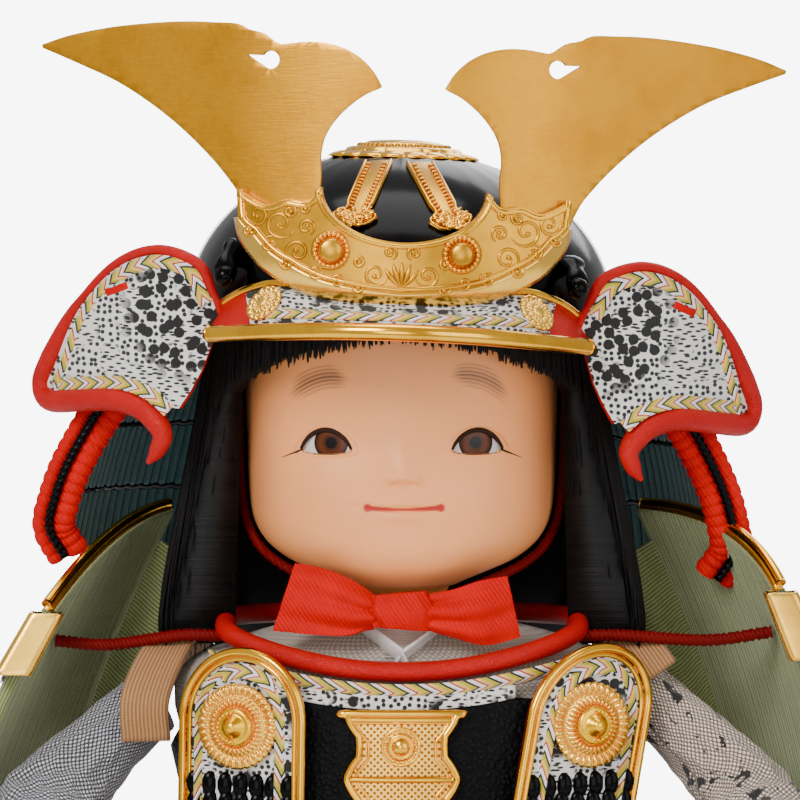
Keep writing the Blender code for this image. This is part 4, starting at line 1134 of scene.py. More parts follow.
def strip(
    name: str,
    path: Array,
    across: Array,
    width: float | Array,
    finish: Finish,
    crown: float = 0.35,
    thick: float = 0.5,
    columns: int = 7,
) -> bpy.types.Object:
    """A flat band along a path, crowned by crown (1 - s^2) across s = -1..1, with u along it and v across it in mm.

    Args:
        name: the object's name.
        path: points of the middle line.
        across: unit vectors across the band at each point.
        width: its width, one or for each point.
        finish: the finish.
        crown: how far its middle stands up.
        thick: its wall.
        columns: points across.

    Returns:
        The object.
    """
    s = np.linspace(-1, 1, columns)
    half = np.broadcast_to(np.asarray(width, float), (len(path),))[:, None] / 2
    normal = unit(np.cross(unit(np.gradient(path, axis=0)), across))
    grid = path[:, None] + across[:, None] * (half * s)[..., None]
    grid = grid + normal[:, None] * (crown * (1 - s**2))[None, :, None]
    uv = stacked(lengths(path)[:, None], half * s)
    return Builder.sheet(name, grid, finish, thick, uv, offset=-1.0)


def bowl_y(x: Array, z: Array, out: float = 0.0) -> Array:
    """Depth of the bowl's front at x and z, out mm outside its surface."""
    left = 1 - (x / (48 + out)) ** 2 - ((z - 180.0) / (36 + out)) ** 2
    return 2.0 - (54 + out) * np.sqrt(np.maximum(left, 0.0))


def chrysanthemum(
    name: str,
    centre: Sequence[float],
    axis: Sequence[float],
    radius: float,
    petals: int,
    boss: float,
    rise: float,
    move: Any = None,
) -> bpy.types.Object:
    """A stamped flower: two rounds of rounded petals, a beaded collar and a domed boss.

    Petal height is rise sqrt(|cos(n a / 2)|) between the boss and the rim, the inner round half a petal on.

    Args:
        name: the object's name.
        centre: middle of its back.
        axis: the way it faces.
        radius: outer radius.
        petals: petals in each round.
        boss: radius of the boss.
        rise: height of the petals.
        move: function that turns or shifts the points at the end.

    Returns:
        The object.
    """
    t = np.linspace(1, 0, 26)
    r = boss + (radius - boss) * t
    outer = np.concatenate([[radius * 0.97], r, np.linspace(boss, 0.05 * boss, 12)])
    kind = np.concatenate([[0.0], 1 + t, -np.linspace(1, 0.05, 12)])[:, None]

    def ripple(a: Array, rr: Array, h: Array) -> tuple[Array, Array]:
        """Raise the petals and scallop the rim."""
        share = np.where(kind > 0, kind - 1, 0.0)
        inner_round = share < 0.46
        wave = np.where(inner_round, np.abs(np.cos(petals * a / 2 + math.pi / 2)), np.abs(np.cos(petals * a / 2)))
        ridge = wave**0.55
        inner_shape = np.sin(np.pi * np.clip(share / 0.46, 0, 1) ** 0.8)
        outer_shape = np.sin(np.pi * np.clip((share - 0.46) / 0.54, 0, 1)) ** 0.5
        shape = np.where(inner_round, inner_shape, outer_shape)
        lift = 0.45 * rise + 0.55 * rise * ridge * shape + np.where(inner_round, 0.35 * rise, 0.0)
        dome = rise * (0.9 + 0.75 * np.sqrt(np.clip(1 - (rr / boss) ** 2, 0, 1)))
        lift = np.where(kind >= 1, lift, np.where(kind < 0, dome, 0.0))
        scallop = 1 - 0.05 * (1 - np.abs(np.cos(petals * a / 2)) ** 0.5) * np.where(kind >= 1, share**3, 1.0)
        return rr * scallop, lift

    profile = np.stack([outer, np.zeros(len(outer))], 1)
    return Builder.lathe(name, profile, centre, axis, STAMPED_GILT, petals * 12, ripple, move=move)


@dataclass
class Bowl:
    """Black lacquered bowl with its petalled crown ring, gilt straps and side fittings."""

    centre: tuple[float, float, float] = (0.0, 2.0, 180.0)
    semi: tuple[float, float, float] = (48.0, 54.0, 36.0)
    wall: float = 2.6
    strap_width: float = 6.4
    petals: int = 18

    def point(self, a: Array, level: Array, out: float = 0.0) -> Array:
        """Point of the bowl: centre + semi (cos l sin a, -cos l cos a, sin l)."""
        x, y, z = (s + out for s in self.semi)
        p = stacked(x * np.cos(level) * np.sin(a), -y * np.cos(level) * np.cos(a), z * np.sin(level))
        return p + np.asarray(self.centre)

    def build(self) -> None:
        """Make the dome, its ridge lines, the crown ring, the straps and the fittings."""
        a = circle(120)[None]
        level = np.linspace(-0.02, 1.45, 36)[:, None]
        ridges = 0.22 * np.abs(np.cos(a * 16)) ** 30 * np.cos(level)
        grid = self.point(a, level) + unit(self.point(a, level) - np.asarray(self.centre)) * ridges[..., None]
        dome = Builder.sheet("lacquered_bowl", tilt(grid), BLACK_LACQUER, self.wall, wrap=True, offset=1.0)
        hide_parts("helmet_bowl")
        self.crown()
        for side, word in SIDES:
            self.strap(side, word)
            self.fitting(side, word)
        LOG.info("bowl: %.0f x %.0f mm", 2 * self.semi[0], 2 * self.semi[1])

    def crown(self) -> None:
        """Petalled disc, rope ring and domed collar on top of the bowl."""

        def petal(angle: Array, r: Array, h: Array) -> tuple[Array, Array]:
            """Scallop the outer disc."""
            lobe = np.abs(np.cos(angle * self.petals / 2)) ** 0.6
            out = np.clip((r - 12.0) / 4.6, 0, 1)
            return r * (1 - 0.07 * out * (1 - lobe)), h + 0.35 * lobe * out

        r = 1.03 * np.array([16.4, 16.7, 15.6, 14.0, 12.9, 12.6, 11.7, 10.7, 10.3, 9.3, 8.9, 7.9, 5.6, 5.2, 4.6, 0.2])
        lift = np.array([0.1, 0.6, 1.1, 1.3, 0.9, 1.8, 2.2, 1.9, 1.3, 1.2, 2.3, 2.9, 3.0, 2.0, 1.4, 1.4])
        profile = np.stack([r, 36 * np.sqrt(1 - (r / 41) ** 2) + 0.8 + 0.55 * lift], 1)
        centre, upward = (-0.4, 1.0, 180.0), (0.0, 0.0, 1.0)
        disc = Builder.lathe("petalled_crown_ring", profile, centre, upward, RIM_GILT, 216, petal, move=tilt)
        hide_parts("crown_ring")
        a = circle(44)
        spots = tilt(np.stack([-0.4 + 10.0 * np.sin(a), 1.0 + 10.0 * np.cos(a), 216.6 + 0 * a], 1))
        beads = [bead(spot, 0.7, 8) for spot in spots]
        Builder.many("crown_beads", beads, CREST_GILT)

    def strap(self, side: int, word: str) -> None:
        """Embossed strap down the bowl, flaring into a leaf-shaped end.

        Args:
            side: -1 or 1.
            word: left or right.
        """
        t = np.linspace(0, 1, 60)
        x = side * (4.6 + 6.9 * t) - 1.4 * (1 - t)
        z = 213.0 - 14.4 * t
        path = np.stack([x, bowl_y(x, z, 0.55), z], 1)
        flare = 1 + 0.62 * np.exp(-(((t - 0.87) / 0.08) ** 2)) - 0.12 * np.exp(-(((t - 0.70) / 0.04) ** 2))
        flare = flare + 0.1 * np.sin(t * 40) * (t > 0.7)
        rounded = np.sqrt(np.clip(1 - ((t - 0.93) / 0.075) ** 2, 0.02, 1))
        width = self.strap_width * flare * np.where(t > 0.93, rounded, 1)
        out = unit((path - self.centre) / np.square(self.semi))
        across = unit(np.cross(out, unit(np.gradient(path, axis=0))))
        piece = strip(f"embossed_strap_{word}", tilt(path), across, width, CREST_GILT, 0.3, 0.7, 13)
        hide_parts(f"bowl_strap_{word}")
        bits = []
        for way in (-1, 1):
            edge = path + across * (way * (width / 2 - 0.35))[:, None] + out * 0.25
            bits.append(cord_body(tilt(edge), 0.32, 6))
        rng = np.random.default_rng(5)
        for k in range(22):
            t0 = 0.78 + 0.21 * rng.random()
            at = int(t0 * 59)
            spot = path[at] + across[at] * rng.uniform(-3.6, 3.6) * (1.05 - (t0 - 0.8) * 2.5) + out[at] * 0.6
            curl = rng.uniform(0, 6.3) + np.linspace(0, 4.2, 12)
            ahead = unit(np.gradient(path, axis=0))[50]
            swirl = spot + across[50] * (0.9 * np.cos(curl))[:, None] + ahead * (0.9 * np.sin(curl))[:, None]
            bits.append(cord_body(tilt(swirl), np.linspace(0.6, 0.3, 12), 6))
        for k in range(4, 46, 3):
            for way in (-1, 1):
                tick = [path[k] + across[k] * way * (w * width[k]) + out[k] * 0.5 for w in (0.36, 0.2)]
                bits.append(cord_body(tilt(np.linspace(*tick, 5)), 0.32, 6))
        Builder.many(f"strap_relief_{word}", bits, RIM_GILT)

    def fitting(self, side: int, word: str) -> None:
        """Lacquered bracket at the temple with a round knob at its end.

        Args:
            side: -1 or 1.
            word: left or right.
        """
        x = side * 36.6
        base = np.array([x, float(bowl_y(np.array(x), np.array(192.0))) - 1.0, 192.0])
        steps = ((0.0, 0.0, 0.0), (0.9, -3.0, -0.6), (1.8, -6.0, -2.4), (1.9, -7.6, -5.4))
        path = through([base + (side * dx, dy, dz) for dx, dy, dz in steps], 24)
        t = np.linspace(0, 1, 24)
        radius = 3.0 - 1.0 * t + 0.5 * np.sin(t * 9)
        lean = (0.3, -1.0, 0.0)
        body = Builder.tube(f"lacquered_bracket_{word}", tilt(path), radius, BLACK_LACQUER, 14, up=lean, flat=0.6)
        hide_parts(f"side_bracket_{word}")
        knob = bead(tilt((path[-1] + (side * 0.2, -0.6, 0.0))[None])[0], 2.4, 20)
        Builder.many(f"bracket_knob_{word}", [knob], BLACK_LACQUER)


@dataclass
class Visor:
    """Visor: printed cloth and braid inside a thick polished gilt rim, leather at its ends and two rosettes."""

    half: float = 41.2
    tube: float = 1.9
    thick: float = 1.2
    braid: float = 3.3
    leather_from: float = 32.0

    def rim(self, x: Array) -> Array:
        """Middle line of the rim: (x, -65 + 0.016 x^2, 176.2 - 2.4 (x/40)^2)."""
        return np.stack([x, -65 + 0.016 * x**2, 176.2 - 2.4 * (x / self.half) ** 2], -1)

    def root(self, x: Array) -> Array:
        """Line where the visor meets the bowl."""
        z = 183.2 + 2.6 * smooth((np.abs(x) - 12) / 14) - 11.1 * (np.abs(x) / self.half) ** 6
        return np.stack([1.06 * x, bowl_y(1.06 * x, np.maximum(z, 180.0), 0.9), z], -1)

    def top(self, x: Array, t: Array, lift: float = 0.0) -> Array:
        """Upper face from the rim at t = 0 to the root at t = 1, bowed up by 0.4 sin(pi t)."""
        p = self.rim(x) + (self.root(x) - self.rim(x)) * t[..., None]
        p[..., 2] += 0.4 * np.sin(np.pi * t) + self.thick / 2 + lift
        return p

    def build(self) -> None:
        """Make the cloth, the leather ends, the braid, the rim and the rosettes."""
        x = np.linspace(-self.half, self.half, 121)
        t = np.linspace(0.04, 1, 20)
        grid = self.top(np.broadcast_to(x[None], (20, 121)), np.broadcast_to(t[:, None], (20, 121)))
        gone = np.linalg.norm(self.root(x) - self.rim(x), axis=1)
        uv = stacked(x[None], t[:, None] * gone[None])
        piece = Builder.sheet("visor_cloth", tilt(grid), (SPOTTED_CLOTH, RED_LEATHER), self.thick, uv, offset=1.0)
        middle = (x[:-1] + x[1:]) / 2
        pick = np.broadcast_to(np.abs(middle) > self.leather_from, (19, 120)).astype(np.int32)
        piece.data.polygons.foreach_set("material_index", pick.ravel())
        piece.modifiers["wall"].material_offset_rim = 0
        piece.modifiers["wall"].material_offset = 0
        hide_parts("visor")
        share = np.clip((self.tube + self.braid / 2 + 0.4) / gone, 0, 0.6)
        line = self.top(x, share, 0.45)
        inner = np.abs(x) < self.leather_from + 0.5
        across = unit(self.root(x) - self.rim(x))[inner]
        strip("visor_braid", tilt(line[inner]), across, self.braid, EDGE_BRAID, 0.4, 0.4)
        path = tilt(self.rim(np.linspace(-self.half, self.half, 140)))
        rim = Builder.tube("visor_gilt_rim", path, self.tube, RIM_GILT, 20, up=(0.0, -0.3, 1.0))
        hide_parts("visor_rim")
        for side, word in SIDES:
            end = self.rim(np.array(side * self.half))
            upper = self.root(side * np.array([39.9, 38.5, 36.5, 33.5, 30.0, 26.0, 20.0]))
            path = through(np.vstack([end[None], upper + (0.0, -0.8, 0.4)]), 50)
            radius = np.interp(np.linspace(0, 1, 50), (0, 0.12, 1), (self.tube, 0.95, 0.8))
            Builder.tube(f"visor_end_rim_{word}", tilt(path), radius, RIM_GILT, 14, up=(0.0, -1.0, 0.3))
            spot = np.array([side * 28.5])
            p = self.top(spot, np.array([0.5]))[0]
            q, r = self.top(spot + 1, np.array([0.5]))[0], self.top(spot, np.array([0.6]))[0]
            normal = np.cross(q - p, r - p)
            normal *= np.sign(normal[2])
            normal = unit(normal)
            flower = chrysanthemum(f"visor_flower_{word}", p + 0.1 * normal, normal, 4.6, 16, 1.6, 1.1, tilt)
            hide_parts(f"visor_rosette_{word}")
        LOG.info("visor %.0f mm wide", 2 * self.half)


@dataclass
class EarFlap:
    """Turned-back ear flap: printed cloth with a braid inside a thick red leather piping that curls to a tip."""

    side: int
    front: float = -33.0
    bend: float = 0.018
    inner_x: float = 38.0
    thick: float = 2.0
    braid: float = 3.0
    edge: tuple[tuple[float, float], ...] = (
        (39.5, 178.0), (41.6, 183.0), (45.0, 189.0), (54.0, 191.6), (63.5, 187.8), (72.6, 177.4), (78.2, 165.6),
        (79.8, 160.6), (78.0, 157.0), (71.0, 157.4), (62.0, 158.2), (55.4, 156.0), (51.6, 151.4), (52.6, 147.4),
        (54.6, 144.6),
    )

    def depth(self, x: Array, z: Array | float = 0.0) -> Array:
        """y of the cloth's face: front + bend (|x| - inner_x)^2 outside inner_x."""
        return self.front + self.bend * np.maximum(np.abs(x) - self.inner_x, 0) ** 2

    def place(self, xz: Array, lift: float = 0.0) -> Array:
        """Points in front of the cloth by lift, mirrored to this flap's side."""
        return np.stack([self.side * xz[:, 0], self.depth(xz[:, 0]) - lift, xz[:, 1]], 1)

    def build(self) -> None:
        """Make cloth, braid and piping."""
        word = "left" if self.side < 0 else "right"
        line = through(self.edge, 130)
        share = np.linspace(0, 1, 130)
        radius = np.interp(share, (0, 0.1, 0.4, 0.55, 0.9, 0.97, 1), (0.9, 1.35, 1.2, 2.7, 2.6, 1.8, 0.5))
        path = tilt(self.place(line, -self.thick / 2))
        piping = Builder.tube(f"leather_piping_{word}", path, radius, RED_LEATHER, 14, up=AHEAD)
        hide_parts(f"flap_piping_{word}")
        ahead = unit(np.gradient(line, axis=0))
        inward = np.stack([ahead[:, 1], -ahead[:, 0]], 1)
        keep = share < 0.84
        cloth_edge = (line + inward * 0.5)[keep]
        outline = np.vstack([cloth_edge, [(48.0, 157.0), (45.5, 161.0), (43.0, 166.0), (41.0, 172.0)]])
        outline[:, 0] *= self.side
        finish = (BLOTTED_CLOTH, RED_LEATHER)
        cloth = Builder.plate(f"flap_cloth_{word}", [outline], self.depth, finish, self.thick, 2.0, tilt)
        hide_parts(f"ear_flap_{word}")
        part = (share > 0.03) & (share < 0.9)
        near = (line + inward * (radius + self.braid / 2 - 0.4)[:, None])[part]
        near = through(near[::4], 150)
        bow = unit(np.gradient(near, axis=0))
        across = np.stack([self.side * bow[:, 1], np.zeros(len(bow)), -bow[:, 0]], 1) * self.side
        strip(f"flap_braid_{word}", tilt(self.place(near, 0.3)), across, self.braid, EDGE_BRAID, 0.35, 0.4)
        for k, ends in enumerate((((60.6, 183.6), (65.4, 181.5)), ((68.4, 179.3), (69.9, 178.1)))):
            dash = self.place(np.linspace(*np.array(ends), 12), 0.25)
            across = np.broadcast_to(unit(np.cross(unit(dash[-1] - dash[0]), (0.0, 1.0, 0.0))), (12, 3))
            strip(f"red_dash_{word}_{k}", tilt(dash), across, 1.7 - 0.3 * k, RED_RIBBON, 0.05, 0.15)
        LOG.info("ear flap %s", word)


@dataclass
class NeckGuard:
    """Neck guard of four lames: red tufted lacing outside, teal lacing inside, a braided edge and a scalloped cord."""

    top: tuple[float, float, float] = (181.5, 48.7, 54.6)
    foot: tuple[float, float, float] = (121.0, 77.0, 74.0)
    centre_y: float = 2.0
    thick: float = 1.8
    lap: float = 3.0
    spans: tuple[float, ...] = (104.0, 96.0, 88.0, 80.0)
    front_line: tuple[tuple[float, float, float], ...] = (
        (57.0, -8, 168), (62.5, -8, 160.5), (67.2, -7, 154.5), (73.3, -5, 143.2), (76.2, -3, 134.9), (77.3, -1, 128),
        (73.8, 2, 121.4),
    )

    def point(self, a: Array, z: Array, out: Array | float = 0.0) -> Array:
        """Point at angle a (0 at the back) and height z, pushed outward by out."""
        t = (self.top[0] - z) / (self.top[0] - self.foot[0])
        ease = 1.35 * t - 0.35 * t * t
        rx = self.top[1] + (self.foot[1] - self.top[1]) * ease + out
        ry = self.top[2] + (self.foot[2] - self.top[2]) * ease + out
        return stacked(rx * np.sin(a), self.centre_y + ry * np.cos(a), z)

    def build(self) -> None:
        """Make the lacing, the lining, the cord and the edge braid of each lame."""
        step = (self.top[0] - self.foot[0]) / len(self.spans)
        for k, span in enumerate(self.spans):
            high = self.top[0] - k * step + (self.lap if k else 0)
            low = self.top[0] - (k + 1) * step
            count = int(span * 2.4)
            a = np.radians(np.linspace(-span, span, count * 2 + 1))[None]
            t = np.linspace(0, 1, 14)[:, None]
            z = high + (low - high) * t
            arc = a * 0.5 * (self.top[1] + self.foot[1])
            tuft = 0.55 * np.abs(np.sin(arc * math.pi / 5.2)) ** 0.6
            shift = np.interp(t, (0, 1), (self.lap if k else 0.0, 0.0))
            rows = 0.35 * np.abs(np.sin(t * math.pi * 3)) ** 0.7
            outside = self.point(a, z, shift + self.thick - 0.75 + tuft * (0.4 + t) * 0.6 + rows)
            uv = stacked(arc, z)
            lacing = Builder.sheet(f"lame_{k + 1}_lacing", tilt(outside), RED_LACING, 0.5, uv, offset=1.0)
            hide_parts(f"neck_guard_{k + 1}")
            ribs = 0.25 * np.abs(np.sin(arc * math.pi / 2.4))
            inside = self.point(a, z, shift - ribs + 0.3)
            Builder.sheet(f"lame_{k + 1}_lining", tilt(inside), TEAL_LACING, 0.4, uv, offset=-1.0)
            hem_a = np.radians(np.linspace(-span, span, 240))
            scallop = 0.5 * np.abs(np.sin(hem_a * 70 * math.pi / 5.2))
            hem = self.point(hem_a, low + 0.2 - scallop, self.thick / 2)
            Builder.tube(f"lame_{k + 1}_cord", tilt(hem), 0.95, BLACK_LACQUER, 8, up=(0.0, 0.0, 1.0))
            line = self.point(hem_a, np.full(240, low + 1.9), self.thick + 0.5)
            outward = np.stack([np.sin(hem_a) * 0.35, np.cos(hem_a) * 0.35, np.full(240, 0.94)], 1)
            strip(f"lame_{k + 1}_edge_braid", tilt(line), -unit(outward), 2.2, ROPE_BRAID, 0.3, 0.4)
        for side, word in SIDES:
            self.front_edge(side, word)
        LOG.info("neck guard: %d lames", len(self.spans))

    def front_edge(self, side: int, word: str) -> None:
        """Tufted red rolls on both sides of a twisted black cord, down the guard's front edge.

        Args:
            side: -1 or 1.
            word: left or right.
        """
        line = through(self.front_line, 220)
        ahead = unit(np.gradient(line, axis=0))
        inward = unit(np.stack([ahead[:, 2], 0 * ahead[:, 0], -ahead[:, 0]], 1))
        beat = np.abs(np.sin(lengths(line) * math.pi / 2.6)) ** 0.5
        mirror, lean = np.array([side, 1.0, 1.0]), (0.0, -1.0, 0.2)
        for name, shift, back, size in (("inner", 2.9, 1.2, 2.9), ("outer", -2.1, 1.8, 2.0)):
            roll = line + inward * shift * np.sign(-inward[:, :1]) + (0.0, back, 0.0)
            radius = size * (0.8 + 0.2 * beat)
            Builder.tube(f"tufted_{name}_roll_{word}", tilt(roll * mirror), radius, RED_RIBBON, 14, up=lean)
        path = tilt((line + (0.0, -1.4, 0.0)) * mirror)
        strands = {"twist": 16, "lobes": 2, "lobe_depth": 0.35}
        Builder.tube(f"black_edge_cord_{word}", path, 1.15, BLACK_LACQUER, 12, up=lean, **strands)


# Head, hair and body

LID_PAINT = Ribbon("dark_brown_lid_paint", "skin_paint", "2E1A12")


@dataclass(frozen=True)
class Bulk:
    """A rounded body given by rows of height, half width, front and back, with superellipse sections."""

    rows: tuple[tuple[float, float, float, float], ...]
    power: float

    def at(self, a: Array, z: Array, out: Array | float = 0.0) -> Array:
        """Point at angle a (0 in front) and height z, moved outward by out."""
        table = through(self.rows, 240)
        half, front, back = (np.interp(z, table[:, 0], table[:, k]) for k in (1, 2, 3))
        x, y = oval(half + out, front - out, back + out, a + 0 * z, self.power)
        return stacked(x, y, z + 0 * x)

    def front_y(self, x: Array, z: Array, out: Array | float = 0.0) -> Array:
        """Depth of the front at x and z, moved outward by out."""
        table = through(self.rows, 240)
        half, front, back = (np.interp(z, table[:, 0], table[:, k]) for k in (1, 2, 3))
        reach = (back - front) / 2 + out
        share = np.clip(np.abs(x) / (half + out), 0, 1)
        return (front + back) / 2 - reach * (1 - share**self.power) ** (1 / self.power)


HEAD = Bulk(
    (
        (104, 9.5, -7.5, 11.5), (112, 9.5, -7.5, 11.5), (117.4, 10.5, -14, 13), (118.6, 12.5, -22.5, 15),
        (119.8, 15, -26, 17), (122, 20.5, -28.5, 20), (124.5, 26, -29.8, 24), (128.5, 30.8, -31, 28),
        (134, 33.6, -31.8, 31), (142, 34.6, -32, 33), (152, 34.9, -31.6, 34.5), (164, 35.3, -32, 35),
        (178, 35.5, -31.5, 35), (190, 34, -29, 33), (200, 29, -23.5, 27), (208, 19.5, -15, 18), (212, 7, -5, 7),
    ),
    2.3,
)
TORSO = Bulk(
    (
        (40, 44, -32, 30), (62, 45, -33, 30), (84, 49.5, -33, 29), (93, 51.5, -32, 28), (99, 50, -30, 26.5),
        (104, 43, -27, 24), (107.5, 32, -23, 21), (110.5, 20, -19, 17),
    ),
    2.2,
)


def bump(x: Array, z: Array, at: tuple[float, float], size: tuple[float, float]) -> Array:
    """Soft hill exp(-(dx/sx)^2 - (dz/sz)^2)."""
    return np.exp(-(((x - at[0]) / size[0]) ** 2) - ((z - at[1]) / size[1]) ** 2)


@dataclass
class Face:
    """Painted doll's head with inset glass eyes, a small nose, a thin red mouth and soft grey brows."""

    eye_x: float = 16.7
    eye_z: float = 149.3
    eye_half: float = 5.7
    lid_up: float = 4.8
    lid_down: float = 0.9
    iris: dict[int, tuple[float, float]] = field(default_factory=lambda: {-1: (-15.6, 151.0), 1: (16.3, 151.1)})

    def lids(self, u: Array) -> tuple[Array, Array]:
        """Heights of the upper and lower lid at u = -1..1 across the eye, measured from its middle."""
        arch = np.clip(1 - np.abs(u) ** 2.0, 0, 1) ** 0.72
        return self.lid_up * arch, -self.lid_down * np.clip(1 - np.abs(u) ** 2.2, 0, 1) ** 0.6

    def relief(self, x: Array, z: Array) -> Array:
        """How far the skin stands out: nose, lips, chin, cheeks and lid folds, less sockets and mouth line."""
        side = np.sign(x) * self.eye_x
        nose_z = np.where(z > 143.6, 7.0, 1.5)
        out = 1.7 * np.exp(-(((x - 0.4) / (3.0 + 0.12 * np.abs(z - 143))) ** 2) - ((z - 143.6) / nose_z) ** 2)
        out += 0.55 * (bump(x, z, (-2.6, 142.9), (1.3, 1.1)) + bump(x, z, (3.4, 142.9), (1.3, 1.1)))
        out -= 0.35 * (bump(x, z, (-1.7, 141.9), (0.7, 0.5)) + bump(x, z, (2.5, 141.9), (0.7, 0.5)))
        line = 136.4 + 0.006 * x**2
        out += 0.5 * bump(x, z - line, (0.4, 1.4), (6.5, 1.0)) + 0.65 * bump(x, z - line, (0.4, -1.7), (5.0, 1.3))
        out -= 0.55 * bump(x, z - line, (0.4, 0.0), (8.0, 0.45))
        out += 0.9 * bump(x, z, (0.4, 126.5), (8.0, 4.0)) + 0.9 * bump(np.abs(x), z, (18.0, 136.0), (9.0, 8.0))
        out -= 0.8 * bump(x, z, (side, self.eye_z + 3.0), (8.5, 5.0))
        u = (x - side) / (self.eye_half + 1.2)
        up, down = self.lids(u)
        below_lid = np.clip((up + 0.9 - (z - self.eye_z)) / 0.9, 0, 1)
        inside = below_lid * np.clip(((z - self.eye_z) - down + 0.8) / 0.8, 0, 1) * (np.abs(u) < 1)
        out += 0.5 * smooth(inside)
        u = (x - side) / self.eye_half
        up, down = self.lids(u)
        hole = np.minimum(np.minimum(up - (z - self.eye_z), (z - self.eye_z) - down) * 1.6, (1 - np.abs(u)) * 7)
        return out - 2.6 * smooth(hole / 0.7)

    def paint(self, x: Array, z: Array) -> Array:
        """Red: cheek colour, and painted shade at the face's sides and towards its top; green: brows; blue: lip line
        and its end dots.
        """
        blush_and_shade = 0.12 * bump(np.abs(x), z, (19.0, 137.5), (8.0, 7.0))
        # Painted shade towards the face's sides.
        blush_and_shade = blush_and_shade + 0.6 * smooth((np.abs(x) - 24) / 11) * smooth((z - 128) / 20 + 0.4)
        # Painted shade towards the top of the face.
        blush_and_shade = blush_and_shade + 0.22 * smooth((z - 160) / 14)
        brow = 0 * x
        for cx, cz, lean in ((-18.4, 165.2, 0.3), (17.2, 165.6, -0.3)):
            across = x - cx
            arch = cz + lean * across - 0.045 * across**2
            fade = smooth((7.0 - np.abs(across)) / 4)
            brow += 0.3 * np.exp(-(((z - arch) / 1.7) ** 2)) * fade
            for k in range(-3, 4):
                stroke = arch + 0.84 * k - 0.02 * k * across * np.sign(cx) * -1
                length = smooth((7.2 - 0.5 * abs(k) - np.abs(across + 0.3 * k)) / 3)
                brow += (0.8 - 0.12 * abs(k)) * np.exp(-(((z - stroke) / 0.21) ** 2)) * length
        line = 136.4 + 0.006 * x**2
        lips = smooth((0.36 + 0.05 * np.abs(x - 0.5) - np.abs(z - line)) / 0.25) * smooth((8.3 - np.abs(x - 0.5)) / 0.6)
        for dot in (-7.6, 8.6):
            lips += smooth((1.1 - np.hypot(x - dot, z - 136.8)) / 0.4)
        return np.clip(np.stack([blush_and_shade, brow, lips, np.ones_like(x)], -1), 0, 1)

    def build(self) -> None:
        """Make the skin, the eyes and the painted lid lines."""
        front = np.linspace(-1.35, 1.35, 300)
        back = np.linspace(1.35, 2 * math.pi - 1.35, 50)[1:-1]
        a = np.concatenate([front, back])[None]
        heights = ((104, 118, 12), (118.3, 172, 210), (173, 211.9, 30))
        z = np.concatenate([np.linspace(*span) for span in heights])[:, None]
        grid = HEAD.at(a, z)
        ahead = np.clip(np.cos(a) * 3, 0, 1) * smooth((z - 118) / 4) * smooth((178 - z) / 6)
        grid[..., 1] -= self.relief(grid[..., 0], grid[..., 2]) * ahead
        skin = Builder.body("painted_head", grid, FACE_SKIN)
        layer = skin.data.attributes.new("paint", "FLOAT_COLOR", "POINT")
        share = np.stack([ahead, ahead, ahead, np.ones_like(ahead)], -1)
        paint = self.paint(grid[..., 0], grid[..., 2]) * share
        layer.data.foreach_set("color", paint.astype(np.float32).ravel())
        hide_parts("head")
        for side, word in SIDES:
            self.eye(side, word)
        LOG.info("face: %d points", grid.size // 3)

    def eye(self, side: int, word: str) -> None:
        """A domed eye behind the lids with its upper lid line and the crease at its outer corner.

        Args:
            side: -1 or 1.
            word: left or right.
        """
        cx = side * self.eye_x
        u, v = np.meshgrid(np.linspace(-1.12, 1.12, 60), np.linspace(-0.4, 1.15, 40))
        x, z = cx + u * self.eye_half, self.eye_z + v * self.lid_up
        y = HEAD.front_y(x, z) + 1.15 - 0.7 * (1 - u**2) * (1 - (v - 0.4) ** 2) + 0.2
        ix, iz = self.iris[side]
        uv = np.stack([np.hypot(x - ix, z - iz), np.arctan2(z - iz, x - ix)], -1)
        ball = Builder.sheet(f"glass_eye_{word}", np.stack([x, y, z], -1), EYE_GLASS, 1.0, uv, offset=1.0)
        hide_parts(f"eye_{word}")
        s = np.linspace(-0.98, 0.98, 40)
        up, down = self.lids(s)
        bits = []
        for edge, size in ((up - 0.15, 0.62), (down - 0.05, 0.2)):
            x, z = cx + s * self.eye_half, self.eye_z + edge
            y = HEAD.front_y(x, z) - self.relief(x, z + np.sign(edge) * 0.9) + 0.05
            bits.append(cord_body(np.stack([x, y, z], 1), size * (0.35 + 0.65 * np.sqrt(1 - s**2)), 8))
        t = np.linspace(0, 1, 16)
        x, z = cx + side * (5.4 + 4.6 * t), self.eye_z + 0.1 - 1.9 * t
        y = HEAD.front_y(x, z) - self.relief(x, z) + 0.02
        bits.append(cord_body(np.stack([x, y, z], 1), 0.26 * (1 - 0.9 * t) + 0.02, 6))
        Builder.many(f"lid_lines_{word}", bits, LID_PAINT)


